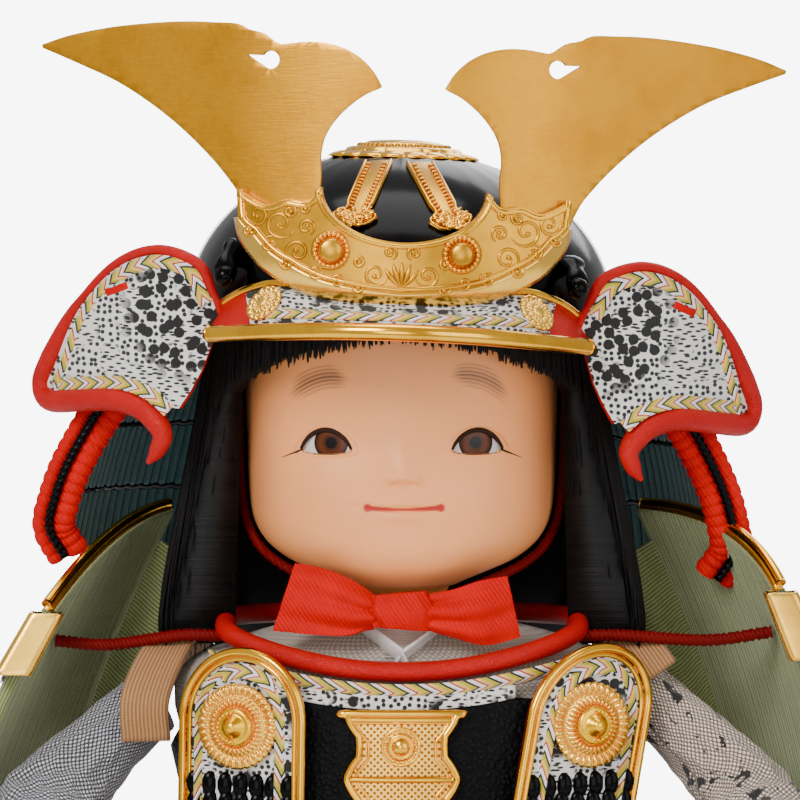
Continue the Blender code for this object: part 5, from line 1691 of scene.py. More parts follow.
@dataclass
class Wig:
    """Wig with a straight fringe and two long side panels, combed in separate locks over a full core."""

    top: float = 188.0
    locks: int = 1500
    seed: int = 7
    thickness: tuple[tuple[float, float], ...] = (
        (112, 17.0), (121, 15.6), (138, 12.2), (160, 7.2), (173, 4.8), (188, 2.2),
    )

    def hem(self, a: Array) -> Array:
        """Height of the hem at angle a, 0 in front."""
        deg = np.degrees(np.abs(a))
        heights = (173.6, 171.5, 168.0, 163.5, 160.0, 134.0, 105.0, 103.2, 105.4)
        return np.interp(deg, (0, 20, 40, 60, 68, 74, 80, 86, 180), heights)

    def at(self, a: Array, z: Array, depth: Array | float) -> Array:
        """Point in the hair: depth 0 lies on the head, 1 on the outside."""
        table = np.array(self.thickness)
        side = np.abs(np.sin(a)) ** 3
        full = np.interp(z, table[:, 0], table[:, 1])
        behind = np.where(np.cos(a) < 0, 0.55, 1.0)
        thick = 2.0 * (1 - side) * np.where(np.cos(a) < 0, 3.0, 1.0) + full * side * (behind + (1 - behind) * side)
        p = HEAD.at(a, np.maximum(z, 142.0), 0.8 + 2.6 * side + thick * depth)
        p[..., 2] = z
        return p

    def build(self) -> None:
        """Make the core and the locks."""
        a = circle(180)
        wrap = (a + math.pi) % (2 * math.pi) - math.pi
        hem = self.hem(wrap)
        rings = [self.at(wrap, np.full(180, self.top), 0.0), self.at(wrap, np.full(180, self.top), 0.9)]
        for t in np.linspace(0, 1, 22)[1:]:
            rings.append(self.at(wrap, self.top + (hem + 1.5 - self.top) * t, 0.86))
        for t in np.linspace(1, 0, 8)[:-1]:
            rings.append(self.at(wrap, self.top + (hem + 1.5 - self.top) * t, 0.0))
        grid = np.stack(rings)
        uv = stacked((np.degrees(wrap) * 0.6)[None], grid[..., 2])
        faces = Builder.grid_faces(len(rings), 180, True, True)
        core = Builder.mesh("hair_core", grid.reshape(-1, 3), faces, BLACK_HAIR, uv.reshape(-1, 2))
        Builder.outward(core)
        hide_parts("wig")
        rng = np.random.default_rng(self.seed)
        fringe = rng.uniform(-1.25, 1.25, self.locks // 4)
        panels = rng.uniform(1.2, 2 * math.pi - 1.2, self.locks * 3 // 4)
        a0 = np.concatenate([fringe, panels])[:, None]
        a0 = (a0 + math.pi) % (2 * math.pi) - math.pi
        steps = 12
        t = np.linspace(0, 1, steps)[None]
        low = self.hem(a0) + rng.normal(0, 0.5, a0.shape) - rng.uniform(0, 2.6, a0.shape) * (np.abs(a0) > 1.2)
        low = np.maximum(low, 101.2)
        z = self.top + (low - self.top) * t
        clump = np.round(a0 * 22) / 22
        angle = a0 + (clump - a0) * 0.35 * t + 0.008 * np.sin(t * rng.uniform(2, 7, a0.shape) + a0 * 40)
        depth = rng.uniform(0.86, 1.0, a0.shape) * np.ones_like(t)
        inner = rng.random(a0.shape) < 0.22
        depth = np.where(inner & (np.abs(a0) > 1.2), rng.uniform(0.05, 0.85, a0.shape), depth)
        path = self.at(angle, z, depth)
        sides = 5
        turn = circle(sides)
        radius = (rng.uniform(0.35, 0.75, a0.shape) * (1 - 0.75 * t**6))[..., None]
        out = unit(path * (1, 1, 0) - (0, 1.5, 0))
        across = np.cross(out, (0.0, 0.0, 1.0))
        points = path[:, :, None] + (radius * np.cos(turn))[..., None] * across[:, :, None]
        points = points + (radius * np.sin(turn))[..., None] * out[:, :, None] * 0.7
        count = len(a0)
        faces = Builder.grid_faces(steps, sides, False, True)
        faces = (faces[None] + (np.arange(count) * steps * sides)[:, None, None]).reshape(-1, 4).tolist()
        for first in (0, (steps - 1) * sides):
            ring = np.arange(count)[:, None] * steps * sides + first + np.arange(sides)[None]
            faces += (ring[:, ::-1] if first == 0 else ring).tolist()
        uv = stacked((np.arange(count)[:, None, None] * 3.1 + turn * 0.4), path[..., 2:3])
        Builder.outward(Builder.mesh("hair_locks", points.reshape(-1, 3), faces, BLACK_HAIR, uv.reshape(-1, 2)))
        LOG.info("wig: %d locks", count)


@dataclass
class ChinTie:
    """Dark red cords along the jaw and the bright red ribbon bow under the chin."""

    cord: float = 1.15
    front: float = -32.0
    route: tuple[tuple[float, float], ...] = (
        (90, 184), (90, 165), (90, 148), (88, 134.5), (80, 127), (66, 122.5), (48, 119.2), (34, 117),
    )

    def wing(self, name: str, outline: Sequence[Sequence[Sequence[float]]], seed: int) -> None:
        """One folded loop of the bow, from the knot outwards.

        Args:
            name: the piece's name.
            outline: upper edge then lower edge, each from the knot out, as rows of x, z.
            seed: shifts the folds.
        """
        upper, lower = (through(half, 40) for half in outline)
        v = np.linspace(0, 1, 36)[:, None]
        s = np.linspace(0, 1, 40)[None]
        xz = upper[None] * (1 - v[..., None]) + lower[None] * v[..., None]
        fold = 0.9 * np.sin(v * 15.0 + seed + 1.5 * s) * (1 - 0.7 * s) + 0.5 * np.sin(v * 5 + seed * 2 + 3 * s)
        y = self.front - 2.6 * np.sin(np.pi * (0.12 + 0.8 * s)) + 0.004 * xz[..., 0] ** 2
        y = y + fold + 1.6 * (2 * v - 1) ** 2
        grid = np.stack([xz[..., 0], y, xz[..., 1]], -1)
        piece = Builder.sheet(name, grid, RED_RIBBON, 1.2, offset=0.0, crease=True)

    def build(self) -> None:
        """Make the cords, the wings and the wrapped knot."""
        for side, word in SIDES:
            route = through(self.route, 60)
            z = route[:, 1]
            path = HEAD.at(side * np.radians(route[:, 0]), np.maximum(z, 119.0), 1.65)
            path[:, 2] = z - np.where(z > 134, 0.0, np.interp(z, (116, 134), (2.4, 0.6)))
            path = through(np.vstack([path[::4], [[side * 6.0, -27.1, 113.2]]]), 90)
            strands = {"up": (0.0, -1.0, 0.3), "twist": 16, "lobes": 3, "lobe_depth": 0.22}
            piece = Builder.tube(f"jaw_cord_{word}", path, self.cord, DARK_CORD, 10, **strands)
            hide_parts(f"chin_cord_{word}")
        left = (
            ((-6.0, 117.2), (-11.2, 120.6), (-17.5, 123.2), (-23.4, 124.2)),
            ((-6.0, 110.2), (-8.0, 109.9), (-13.4, 108.6), (-28.3, 109.6)),
        )
        right = (
            ((6.0, 117.4), (11.5, 118.6), (17.0, 120.6), (23.0, 121.6)),
            ((6.0, 110.2), (11.6, 108.6), (18.6, 106.8), (26.0, 108.2)),
        )
        self.wing("bow_wing_left", left, 1)
        self.wing("bow_wing_right", right, 4)
        s, a = np.meshgrid(np.linspace(0, 1, 30), circle(48), indexing="ij")
        wide = 7.0 * (1 - 0.10 * np.cos(2 * np.pi * s)) * (0.94 + 0.06 * np.cos(a * 9 + s * 4))
        x = -0.4 + wide * np.cos(a)
        y = self.front - 0.6 + 4.2 * np.sin(a) * np.sin(np.pi * (0.2 + 0.6 * s)) + 0.3 * np.sin(a * 7 + 5 * s)
        z = 110.2 + 7.9 * s + 0.5 * np.cos(a) * (2 * s - 1)
        grid = np.stack([x, y, z], -1)
        knot = Builder.body("bow_knot", grid, RED_RIBBON)
        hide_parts("chin_bow")
        for name in ("bow_wing_left", "bow_wing_right"):
            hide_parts("chin_bow")
        LOG.info("chin tie")


@dataclass
class NeckDress:
    """Collars, the leather neck piping and the braid below it."""

    piping: float = 2.25

    def line(self, a: Array, drop: float = 0.0, out: float = 0.0) -> Array:
        """Neck line on the body: z = 110.2 - 7 c^2 - 2.6 c^8 - drop, where c = max(0, cos a) and a = 0 in front."""
        z = 106.0 - 7.0 * np.maximum(0, np.cos(a)) ** 2 - drop
        p = TORSO.at(a, z, 1.9 + out)
        p[..., 2] += 1.6 + 2.6 * (1 - np.maximum(0, np.cos(a)) ** 8)
        return p

    def build(self) -> None:
        """Make the body cloth, the collars, the piping and the braid."""
        a = circle(96)[None]
        z = np.concatenate([np.linspace(40, 96, 12), np.linspace(97, 110.4, 16)])[:, None]
        folds = 0.25 * np.sin(a * 9 + z * 0.4) * smooth((z - 98) / 6)
        grid = TORSO.at(a, z, folds)
        uv = stacked(a * 38, z)
        body = Builder.body("dressed_body", grid, TAUPE_CLOTH, uv)
        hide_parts("torso")
        t = np.linspace(0, 1, 8)[:, None]
        x, y = (14.2 + 0.5 * t) * np.sin(a), -1.0 - (17.0 + 0.6 * t) * np.cos(a) * 0.9
        ring = stacked(x, y, 108.6 + 6.4 * t - 1.5 * np.maximum(0, np.cos(a)))
        collar = Builder.sheet("standing_collar", ring, WHITE_CLOTH, 1.0, wrap=True, offset=0.0, crease=True)
        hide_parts("under_collar")
        for k, side in enumerate((1, -1)):
            s = np.linspace(0, 1, 50)
            x, z = side * (14.0 - 15.5 * s), 112.5 - 10.2 * s**1.1
            path = np.stack([x, TORSO.front_y(x, np.minimum(z, 110.3), 1.2 + 0.7 * k), z], 1)
            across = np.stack([side * 0.45 * np.ones(50), -0.3 * np.ones(50), 0.85 * np.ones(50)], 1)
            strip(f"white_collar_{k}", path, unit(across), 7.6, WHITE_CLOTH, 0.4, 0.7)
        x, s = np.meshgrid(np.linspace(-9.5, 9.5, 30), np.linspace(0, 1, 12))
        z = 112.2 + (102.6 + 0.85 * np.abs(x) - 112.2) * s
        inner = np.stack([x, TORSO.front_y(x, np.minimum(z, 110.3), 0.9), z], -1)
        Builder.sheet("white_inner_collar", inner, WHITE_CLOTH, 0.4, np.stack([x, z], -1), offset=0.0)
        around = circle(200)
        piece = Builder.tube("neck_leather_piping", self.line(around), self.piping, RED_LEATHER, 16, closed=True)
        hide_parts("neck_piping")
        part = np.linspace(-0.88, 0.88, 160)
        line = self.line(part, 4.1, 1.5)
        across = np.stack([0.55 * np.sin(part), -0.55 * np.cos(part), 0.85 * np.ones(160)], 1)
        strip("neck_braid", line, unit(across), 4.0, EDGE_BRAID, 0.6, 0.5)
        LOG.info("collar and neck piping")


@dataclass
class Cuirass:
    """Pebbled black chest armour with its cloth band, gilt hourglass plaque and the two breast plates."""

    gap: float = 0.6
    wall: float = 2.6
    foot: float = 54.0
    plaque_z: tuple[float, float] = (66.0, 92.4)
    bar_z: float = 77.4

    def top(self, a: Array) -> Array:
        """Height of the upper edge: 95.5 in front, 82 at the sides, 98 behind."""
        edge = np.where(np.cos(a) > 0, 95.5, 98.0)
        return edge + (82.0 - edge) * np.sin(a) ** 4

    def build(self) -> None:
        """Make the shell, its edge cord, the cloth band, the plaque and the breast plates."""
        a = circle(160)
        t = np.linspace(0, 1, 30)[:, None]
        z = self.top(a)[None] * (1 - t) + self.foot * t
        grid = TORSO.at(a[None], z, self.gap + self.wall)
        shell = Builder.sheet("pebbled_cuirass", grid, PEBBLED_LACQUER, 2.2, wrap=True, crease=True)
        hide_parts("cuirass")
        for k, high in enumerate((58.0, 55.2)):
            ring = TORSO.at(a, np.full(160, high), self.gap + self.wall + 0.3)
            strands = {"twist": 60, "lobes": 3, "lobe_depth": 0.25}
            Builder.tube(f"cuirass_hem_cord_{k}", ring, 0.7, DARK_CORD, 8, closed=True, **strands)
        x, s = np.meshgrid(np.linspace(-25, 25, 60), np.linspace(0, 1, 10))
        z = 96.0 + 0.004 * x**2 + (92.4 - 96.0) * s
        grid = np.stack([x, TORSO.front_y(x, z, self.gap + self.wall + 0.25), z], -1)
        Builder.sheet("chest_cloth_band", grid, SPOTTED_CLOTH, 0.3, np.stack([x, z], -1), offset=0.0)
        self.plaque()
        BreastPlate("left", -35.6, -35.0, 105.5, 13.6).build()
        BreastPlate("right", 36.5, 44.2, 106.0, 13.4).build()
        LOG.info("cuirass with plaque and breast plates")

    def plaque(self) -> None:
        """Hourglass plate pierced all over, with a raised scalloped border and a ringed stud."""
        low, high = self.plaque_z
        t, s = np.linspace(0, 1, 80)[:, None], np.linspace(-1, 1, 50)[None]

        def half(u: Array) -> Array:
            """Half width 9.4 + 3.4 |2w - 1|^1.5 with scallops; w runs up from the cross bar, and down below it."""
            w = np.abs(low + (high - low) * u - self.bar_z) / (high - self.bar_z)
            return 9.4 + 3.4 * np.abs(2 * w - 1) ** 1.5 + 0.5 * np.abs(np.sin(w * math.pi * 3))

        def place(x: Array, z: Array, lift: float) -> Array:
            """Point in front of the cuirass."""
            return np.stack([x, TORSO.front_y(x, z, self.gap + self.wall + lift), z], -1)

        z = low + (high - low) * t + 0 * s
        grid = place(half(t) * s, z, 1.5)
        uv = np.stack([half(t) * s, z], -1)
        plate = Builder.sheet("pierced_plaque", grid, PIERCED_GILT, 1.0, uv, offset=1.0, crease=True)
        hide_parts("chest_plaque")
        u = np.linspace(0, 1, 60)
        for inset, size in ((0.6, 0.9), (2.6, 0.35)):
            right = np.stack([half(u) - inset, low + inset + (high - low - 2 * inset) * u], 1)
            loop = np.vstack([right, (right * (-1, 1))[::-1]])
            loop = through(loop, 240, closed=True)[:-1]
            path = place(loop[:, 0], loop[:, 1], 1.6)
            Builder.tube(f"plaque_border_{size * 100:.0f}", path, size, RIM_GILT, 8, closed=True, up=AHEAD)
        for k, at in enumerate((high - 1.9, self.bar_z)):
            bar = np.linspace(-11.4, 11.4, 40)
            Builder.tube(f"plaque_bar_{k}", place(bar, np.full(40, at), 1.7), 0.75, RIM_GILT, 8, up=(0.0, 0.0, 1.0))
        middle = place(np.array(-0.2), np.array(84.6), 1.4)
        ring = bead_ring(middle + (0.0, -0.9, 0.0), 3.5, 0.45, 18)
        Builder.many("plaque_beads", ring, STAMPED_GILT)
        radii = (4.4, 4.4, 4.0, 3.5, 3.1, 2.8, 2.4, 2.1, 1.9, 1.2, 0.3)
        profile = np.stack([radii, (0.0, 0.5, 0.7, 0.3, 0.3, 0.8, 0.9, 0.5, 1.3, 1.9, 2.1)], 1)
        Builder.lathe("plaque_stud", profile, middle, (0.0, -1.0, 0.0), RIM_GILT, 48)


@dataclass
class BreastPlate:
    """Arched plate of printed cloth inside a double gilt rim, with braid along it, a big flower and black scales."""

    word: str
    foot_x: float
    top_x: float
    top_z: float
    half: float
    foot_z: float = 62.0
    front: float = -43.2
    bend: float = 0.0085

    def middle(self, z: float | Array) -> float | Array:
        """x of the plate's leaning middle line at a height."""
        return self.foot_x + (self.top_x - self.foot_x) * (z - self.foot_z) / (self.top_z - self.foot_z)

    def edge(self, inset: float, low: float) -> Array:
        """The arch from its left foot over the top to its right foot, drawn in by inset and starting at low."""
        half, rise = self.half - inset, self.half * 1.15 - inset
        arch_z = self.top_z - self.half * 1.15
        a = np.linspace(math.pi, 0, 40)
        arc = np.stack([half * np.cos(a), arch_z + rise * np.sin(a)], 1)
        leg = np.linspace(low, arch_z - 0.5, 20)
        xz = np.vstack([np.stack([-half + 0 * leg, leg], 1), arc, np.stack([half + 0 * leg, leg], 1)[::-1]])
        xz[:, 0] += self.middle(xz[:, 1])
        return through(xz, 160)

    def depth(self, x: Array, z: Array | float = 0.0) -> Array:
        """y of the plate's face."""
        return self.front + self.bend * np.square(x)

    def build(self) -> None:
        """Make the plate, the rims, the braid, the flower and the scales."""
        loops, finish = [self.edge(0.2, self.foot_z)], (SPOTTED_CLOTH, RED_LEATHER)
        plate = Builder.plate(f"breast_cloth_{self.word}", loops, self.depth, finish, 2.0, 3.0)
        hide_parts(f"breast_plate_{self.word}")
        for k, (inset, radius) in enumerate(((0.4, 1.05), (1.9, 0.6))):
            xz = self.edge(inset, self.foot_z)
            path = np.stack([xz[:, 0], self.depth(xz[:, 0]) - 0.3, xz[:, 1]], 1)
            Builder.tube(f"breast_rim_{self.word}_{k}", path, radius, RIM_GILT, 14, up=AHEAD)
        xz = self.edge(4.6, 68.0)
        path = np.stack([xz[:, 0], self.depth(xz[:, 0]) - 0.25, xz[:, 1]], 1)
        ahead = unit(np.gradient(path, axis=0))
        across = unit(np.cross(ahead, (0.0, 1.0, 0.0)))
        strip(f"breast_braid_{self.word}", path, -across, 3.4, EDGE_BRAID, 0.5, 0.4)
        z = 88.8
        x = -0.2 + self.middle(z)
        normal = unit(np.array([2 * self.bend * x + 0.0, -1.0, 0.0]))
        base = np.array([x, self.front + self.bend * x * x, z]) + normal * 0.9
        turned = unit(normal * (0.7, 1.0, 1.0))
        flower = chrysanthemum(f"breast_flower_{self.word}", base, turned, 9.6, 34, 4.3, 2.0)
        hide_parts(f"rosette_{self.word}")
        radii = (4.3, 4.2, 3.7, 3.0, 2.5, 2.3, 1.6, 1.4, 0.8, 0.1)
        profile = np.stack([radii, (1.6, 2.9, 3.3, 3.1, 3.3, 3.9, 4.3, 4.9, 5.3, 5.4)], 1)
        Builder.lathe(f"breast_boss_{self.word}", profile, base, turned, BOSS_GILT, 32)
        ring = bead_ring(base + turned * 3.3, 3.3, 0.42, 22)
        Builder.many(f"breast_boss_beads_{self.word}", ring, BOSS_GILT)
        scales = []
        for row, at in enumerate((77.4, 73.2, 69.0, 64.8)):
            for k in range(-3, 4):
                sx = self.middle(at) + k * 3.5 + (row % 2) * 0.2
                if abs(k * 3.5) > self.half - 2.2:
                    continue
                body, faces = bead((0.0, 0.0, 0.0), 1.0, 12)
                spot = (sx, float(self.depth(np.array(sx))) - 0.4 - 0.15 * row, at - 1.8)
                body = body.reshape(-1, 3) * (1.9, 0.8, 2.9) + spot
                scales.append((body, faces))
        Builder.many(f"breast_scales_{self.word}", scales, BLACK_LACQUER)


def drape(t: Array, a: Array, seed: float, depth: float) -> Array:
    """Soft folds of a stuffed tube: four slanting waves whose crests are rounder than their valleys."""
    total = 0 * (t + a)
    for k, (count, lean, share) in enumerate(((3, 4.0, 1.0), (5, -7.0, 0.6), (2, 11.0, 0.5), (7, 9.0, 0.3))):
        wave = np.sin(count * a + lean * t * 3 + seed * (k + 1.7) + 1.3 * np.sin(2 * a + seed + k))
        total = total + share * (1 - np.abs(wave) ** 1.4)
    return depth * (total / 2.4 - 0.5)


def puff(piece: bpy.types.Object, ring: int, limit: float) -> None:
    """Let stuffed cloth settle: a short cloth run under pressure with both ends held, capped at limit mm.

    Args:
        piece: a closed tube, made of rings.
        ring: points in each ring.
        limit: the furthest that a point may go.
    """
    before = np.empty(len(piece.data.vertices) * 3)
    piece.data.vertices.foreach_get("co", before)
    before = before.reshape(-1, 3)
    held = piece.vertex_groups.new(name="held")
    held.add([*range(2 * ring), *range(len(before) - 2 * ring, len(before))], 1.0, "REPLACE")
    cloth = piece.modifiers.new("stuffing", "CLOTH")
    cloth.settings.vertex_group_mass = held.name
    cloth.settings.quality = 6
    cloth.settings.mass = 0.05
    cloth.settings.air_damping = 6.0
    cloth.settings.tension_stiffness = cloth.settings.compression_stiffness = 12.0
    cloth.settings.bending_stiffness = 0.4
    cloth.settings.shrink_min = -0.05
    cloth.settings.use_pressure = True
    cloth.settings.uniform_pressure_force = 4.0
    cloth.settings.effector_weights.gravity = 0.0
    scene = bpy.context.scene
    for number in range(1, 7):
        scene.frame_set(number)
    shape = piece.evaluated_get(bpy.context.evaluated_depsgraph_get()).to_mesh()
    after = np.empty(len(shape.vertices) * 3)
    shape.vertices.foreach_get("co", after)
    move = after.reshape(-1, 3) - before
    size = np.linalg.norm(move, axis=1, keepdims=True)
    move *= np.minimum(1, limit * MM / np.maximum(size, 1e-9))
    piece.modifiers.remove(cloth)
    piece.vertex_groups.remove(held)
    piece.data.vertices.foreach_set("co", (before + move).ravel())
    piece.data.update()
    scene.frame_set(1)
    LOG.info("%s settled by up to %.2f mm", piece.name, float(size.max()) / MM)


@dataclass
class Arm:
    """One arm: satin shoulder strap, red tie cord, brocade sleeve stuffed with wadding, and a hand."""

    side: int
    brocade: Cloth
    path: tuple[tuple[float, float, float], ...] = (
        (52.4, -2, 92.6), (56.0, -2.4, 92.0), (68.0, -7, 81.5), (79.5, -15, 67), (83, -32, 53), (73, -49, 46.5),
    )
    radii: tuple[float, ...] = (7.6, 8.4, 11.4, 14.2, 13.2, 10.4)

    def build(self) -> None:
        """Make the strap, the cord, the sleeve and the hand."""
        word = "left" if self.side < 0 else "right"
        mirror = np.array([self.side, 1, 1])
        over = [(52.0, -9.0, 104.6), (48.5, 0.0, 105.6), (48.5, 12.0, 103.6), (50.0, 23.0, 96.0)]
        front = [(57.0, -17.4, 84.0), (57.0, -17.2, 94.0)] if self.side < 0 else [(57.0, -12.6, 98.2)]
        path = through(front + over, 50) * mirror
        facing = [(0.1, -1, 0.1)] * len(front) + [(0.2, -0.6, 1), (0.2, 0, 1), (0.2, 0.4, 1), (0.2, 1, 0.4)]
        across = unit(np.cross(unit(np.gradient(path, axis=0)), unit(through(facing, 50)) * mirror))
        strap = strip(f"satin_strap_{word}", path, across, 11.0, TAN_SATIN, 0.2, 1.4, 9)
        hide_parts(f"shoulder_strap_{word}")
        end = ShoulderGuard(self.side).point(0.3, 0.3, -0.95) * mirror
        sag = (end + (54.0, -9.2, 106.0)) / 2 - (0, 0, 1.0)
        cord = through([(40.0, -13.5, 107.2), (50.0, -12.5, 107.2), sag, end], 70) * mirror
        strands = {"up": (0.0, -1.0, 0.3), "twist": 14, "lobes": 2, "lobe_depth": 0.35}
        tie = Builder.tube(f"red_tie_cord_{word}", cord, 1.6, DARK_CORD, 12, **strands)
        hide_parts(f"shoulder_cord_{word}")
        t = np.linspace(0, 1, 90)
        line = through(self.path, 90) * mirror
        radius = np.interp(t, np.linspace(0, 1, len(self.radii)), self.radii)
        a = circle(96)[None]
        ends = smooth(t / 0.12) * smooth((1 - t) / 0.1)
        swell = 1 + drape(t[:, None], a, 2.0 + self.side, 0.085) * ends[:, None]
        _, way, above = frames(line, (0.0, -0.4, 1.0))
        r = (radius[:, None] * swell)[..., None]
        grid = line[:, None] + way[:, None] * r * np.cos(a)[..., None] + above[:, None] * r * np.sin(a)[..., None]
        uv = stacked(lengths(line)[:, None], a * 12.0)
        sleeve = Builder.body(f"stuffed_sleeve_{word}", grid, self.brocade, uv)
        puff(sleeve, 96, 2.2)
        soft = sleeve.modifiers.new("soft", "SUBSURF")
        soft.levels = soft.render_levels = 1
        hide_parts(f"sleeve_{word}")
        last, ahead = line[-1], unit(line[-1] - line[-2])
        self.hand(word, last + ahead * 0.4, ahead)

    def hand(self, word: str, wrist: Array, ahead: Array) -> None:
        """A small hand with four fingers and a thumb, half closed.

        Args:
            word: left or right.
            wrist: where it starts.
            ahead: the way the arm points.
        """
        down = np.array([0.0, -0.25, -1.0])
        across = unit(np.cross(ahead, down))
        t = np.linspace(0, 1, 14)
        palm = through([wrist, wrist + ahead * 4, wrist + ahead * 9], 14)
        bits = [cord_body(palm, np.interp(t, (0, 0.3, 0.8, 1), (4.4, 5.4, 5.8, 3.6)), 16)]
        for k in range(4):
            root = wrist + ahead * 8.0 + across * (k - 1.5) * 2.5
            bends = ((0.0, 0.0), (4.2, 0.6), (7.2, 2.6), (7.4, 4.4))
            curl = through([root + ahead * far + down * low for far, low in bends], 16)
            bits.append(cord_body(curl, np.interp(np.linspace(0, 1, 16), (0, 0.85, 1), (1.5, 1.3, 0.6)), 10))
        root = wrist + ahead * 4.0 - across * 4.2 * self.side
        thumb = through([root, root + ahead * 3.5 - across * 1.4 * self.side, root + ahead * 7 + down], 14)
        bits.append(cord_body(thumb, np.interp(t, (0, 0.85, 1), (1.8, 1.5, 0.7)), 10))
        hand = Builder.many(f"painted_hand_{word}", bits, HAND_SKIN)
        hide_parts(f"hand_{word}")
        LOG.info("arm %s", word)


@dataclass
class ShoulderGuard:
    """Shoulder guard: gilt crown with a double rim, laced rows outside, ribbed olive lining and a boxed end plate."""

    side: int
    thick: float = 3.0
    crown: float = 0.2
    rows: int = 5

    def point(self, u: Array | float, v: Array | float, out: Array | float) -> Array:
        """u runs front to back, v from the top edge down; quadratic edges blended, bowed out by 2.5 sin(pi v)."""
        if self.side < 0:
            tops = ((-76.3, -15, 114.4), (-63.1, 6, 129.4), (-51.0, 24, 135.5))
        else:
            tops = ((81.5, -19, 119.5), (70.5, -4, 132.0), (52.5, 15, 136.0))
        hems = np.array([(99.0, -19, 60.0), (94.0, 10, 59.0), (80.0, 38, 61.0)]) * (self.side, 1, 1)
        u, v, out = (np.asarray(q, float)[..., None] for q in (u, v, out))

        def blend(rows: Array) -> Array:
            """Quadratic through three points."""
            return rows[0] * (1 - u) * (1 - 2 * u) + rows[1] * 4 * u * (1 - u) + rows[2] * u * (2 * u - 1)

        p = blend(np.array(tops, float)) * (1 - v) + blend(hems) * v
        away = unit(np.concatenate(np.broadcast_arrays(self.side * 0.8 + 0 * u, -0.05 + 0.62 * u, 0.30 - 0.1 * v), -1))
        return p + away * (out + 2.5 * np.sin(math.pi * v))

    def build(self) -> None:
        """Make the lining, crown, rims, laced rows, edge roll and end plate."""
        word = "left" if self.side < 0 else "right"
        turn = 1.0 if self.side > 0 else -1.0
        u, v = np.meshgrid(np.linspace(0, 1, 70), np.linspace(0.02, self.crown, 10), indexing="ij")
        gilt = Builder.sheet(f"gilt_crown_{word}", self.point(u, v, 2.8), CREST_GILT, 2.0, offset=turn, crease=True)
        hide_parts(f"guard_crown_{word}")
        ends = np.linspace(0, 1, 90)
        for k, (at, out, size) in enumerate(((0.02, 2.6, 1.25), (0.045, 1.0, 0.8), (0.2, 3.0, 0.8))):
            Builder.tube(f"guard_rim_{word}_{k}", self.point(ends, np.full(90, at), out), size, RIM_GILT, 12)
        rows = np.linspace(0, 1, 90)
        u, w = np.meshgrid(np.linspace(0, 1, 110), rows, indexing="ij")
        v = self.crown + 0.012 + (1 - self.crown - 0.012) * w
        cell = (w * self.rows) % 1.0
        arc = u * 72.0
        tuft = 0.45 * np.abs(np.sin(arc * math.pi / 4.8)) ** 0.6 * np.sin(np.pi * cell)
        out = 2.0 + 1.1 * cell ** 0.7 + tuft - 1.0 * smooth((cell - 0.92) / 0.08)
        uv = np.stack([arc, w * 60.0], -1)
        laced = Builder.sheet(f"laced_rows_{word}", self.point(u, v, out), TEAL_LACING, 0.8, uv, offset=turn)
        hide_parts(f"guard_panel_{word}")
        for k in range(self.rows):
            at = self.crown + 0.012 + (0.8 - 0.012) * (k + 0.88) / self.rows
            path = self.point(ends, np.full(90, at), 3.5)
            across = unit(self.point(ends, np.full(90, at + 0.01), 3.5) - path) * self.side
            strip(f"guard_braid_{word}_{k}", path, across, 2.0, ROPE_BRAID, 0.3, 0.3)
        u, v = np.meshgrid(np.linspace(0, 1, 90), np.linspace(0.03, 0.995, 60), indexing="ij")
        ribs = 0.3 * np.abs(np.sin(u * 72 * math.pi / 2.1))
        lining = self.point(u, v, 0.25 - ribs)
        Builder.sheet(f"ribbed_lining_{word}", lining, OLIVE_LINING, 0.4, np.stack([v * 62, u * 72], -1), offset=-turn)
        drop = np.linspace(0.0, 1.0, 40)[:, None]
        over = np.linspace(0.0, 1.0, 24)[None]
        inner = np.stack([self.side * (47.0 + 15.0 * drop), 21.0 + 3.0 * drop, 120.0 - 42.0 * drop], -1)
        outer = self.point(np.full((40, 1), 0.97), 0.12 + 0.66 * drop, -0.6)
        fold = outer * (1 - over[..., None]) + inner * over[..., None]
        fold[..., 1] += 1.2 * np.sin(np.pi * over) * np.sin(over * 7 + drop * 3)
        hung = Builder.sheet(f"lining_fold_{word}", fold, OLIVE_LINING, 0.5, offset=0.0, crease=True)
        drop = np.linspace(0.04, 0.99, 80)
        path = self.point(np.full(80, 0.0), drop, 1.2)
        Builder.tube(f"lining_edge_roll_{word}", path, 1.7, OLIVE_LINING, 12, up=AHEAD)
        self.end_plate(word)
        LOG.info("shoulder guard %s", word)

    def end_plate(self, word: str) -> None:
        """An open gilt box in front of the guard, its inside black as painted shade.

        Args:
            word: left or right.
        """
        base, foot = self.point(0.0, 0.04, 1.5), self.point(0.0, 0.3, 1.5)
        axis = foot - base
        side = np.array([1.0, 0.0, 0.0])
        deep = np.array([0.0, -1.0, 0.0])
        a = circle(60)
        x = np.sign(np.cos(a)) * np.abs(np.cos(a)) ** 0.25
        y = np.sign(np.sin(a)) * np.abs(np.sin(a)) ** 0.25
        t = np.linspace(0, 1, 14)[:, None, None]
        ring = side * (3.2 * x)[:, None] + deep * (4.4 + 3.4 * y)[:, None]
        grid = base + axis * t + ring[None] * (1 + 0.12 * t)
        # The black lacquer inside the box is painted shade in its opening.
        finish = (BLACK_LACQUER, STAMPED_GILT)
        box = Builder.sheet(f"gilt_end_box_{word}", grid, finish, 0.7, wrap=True, crease=True)
        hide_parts(f"guard_end_{word}")


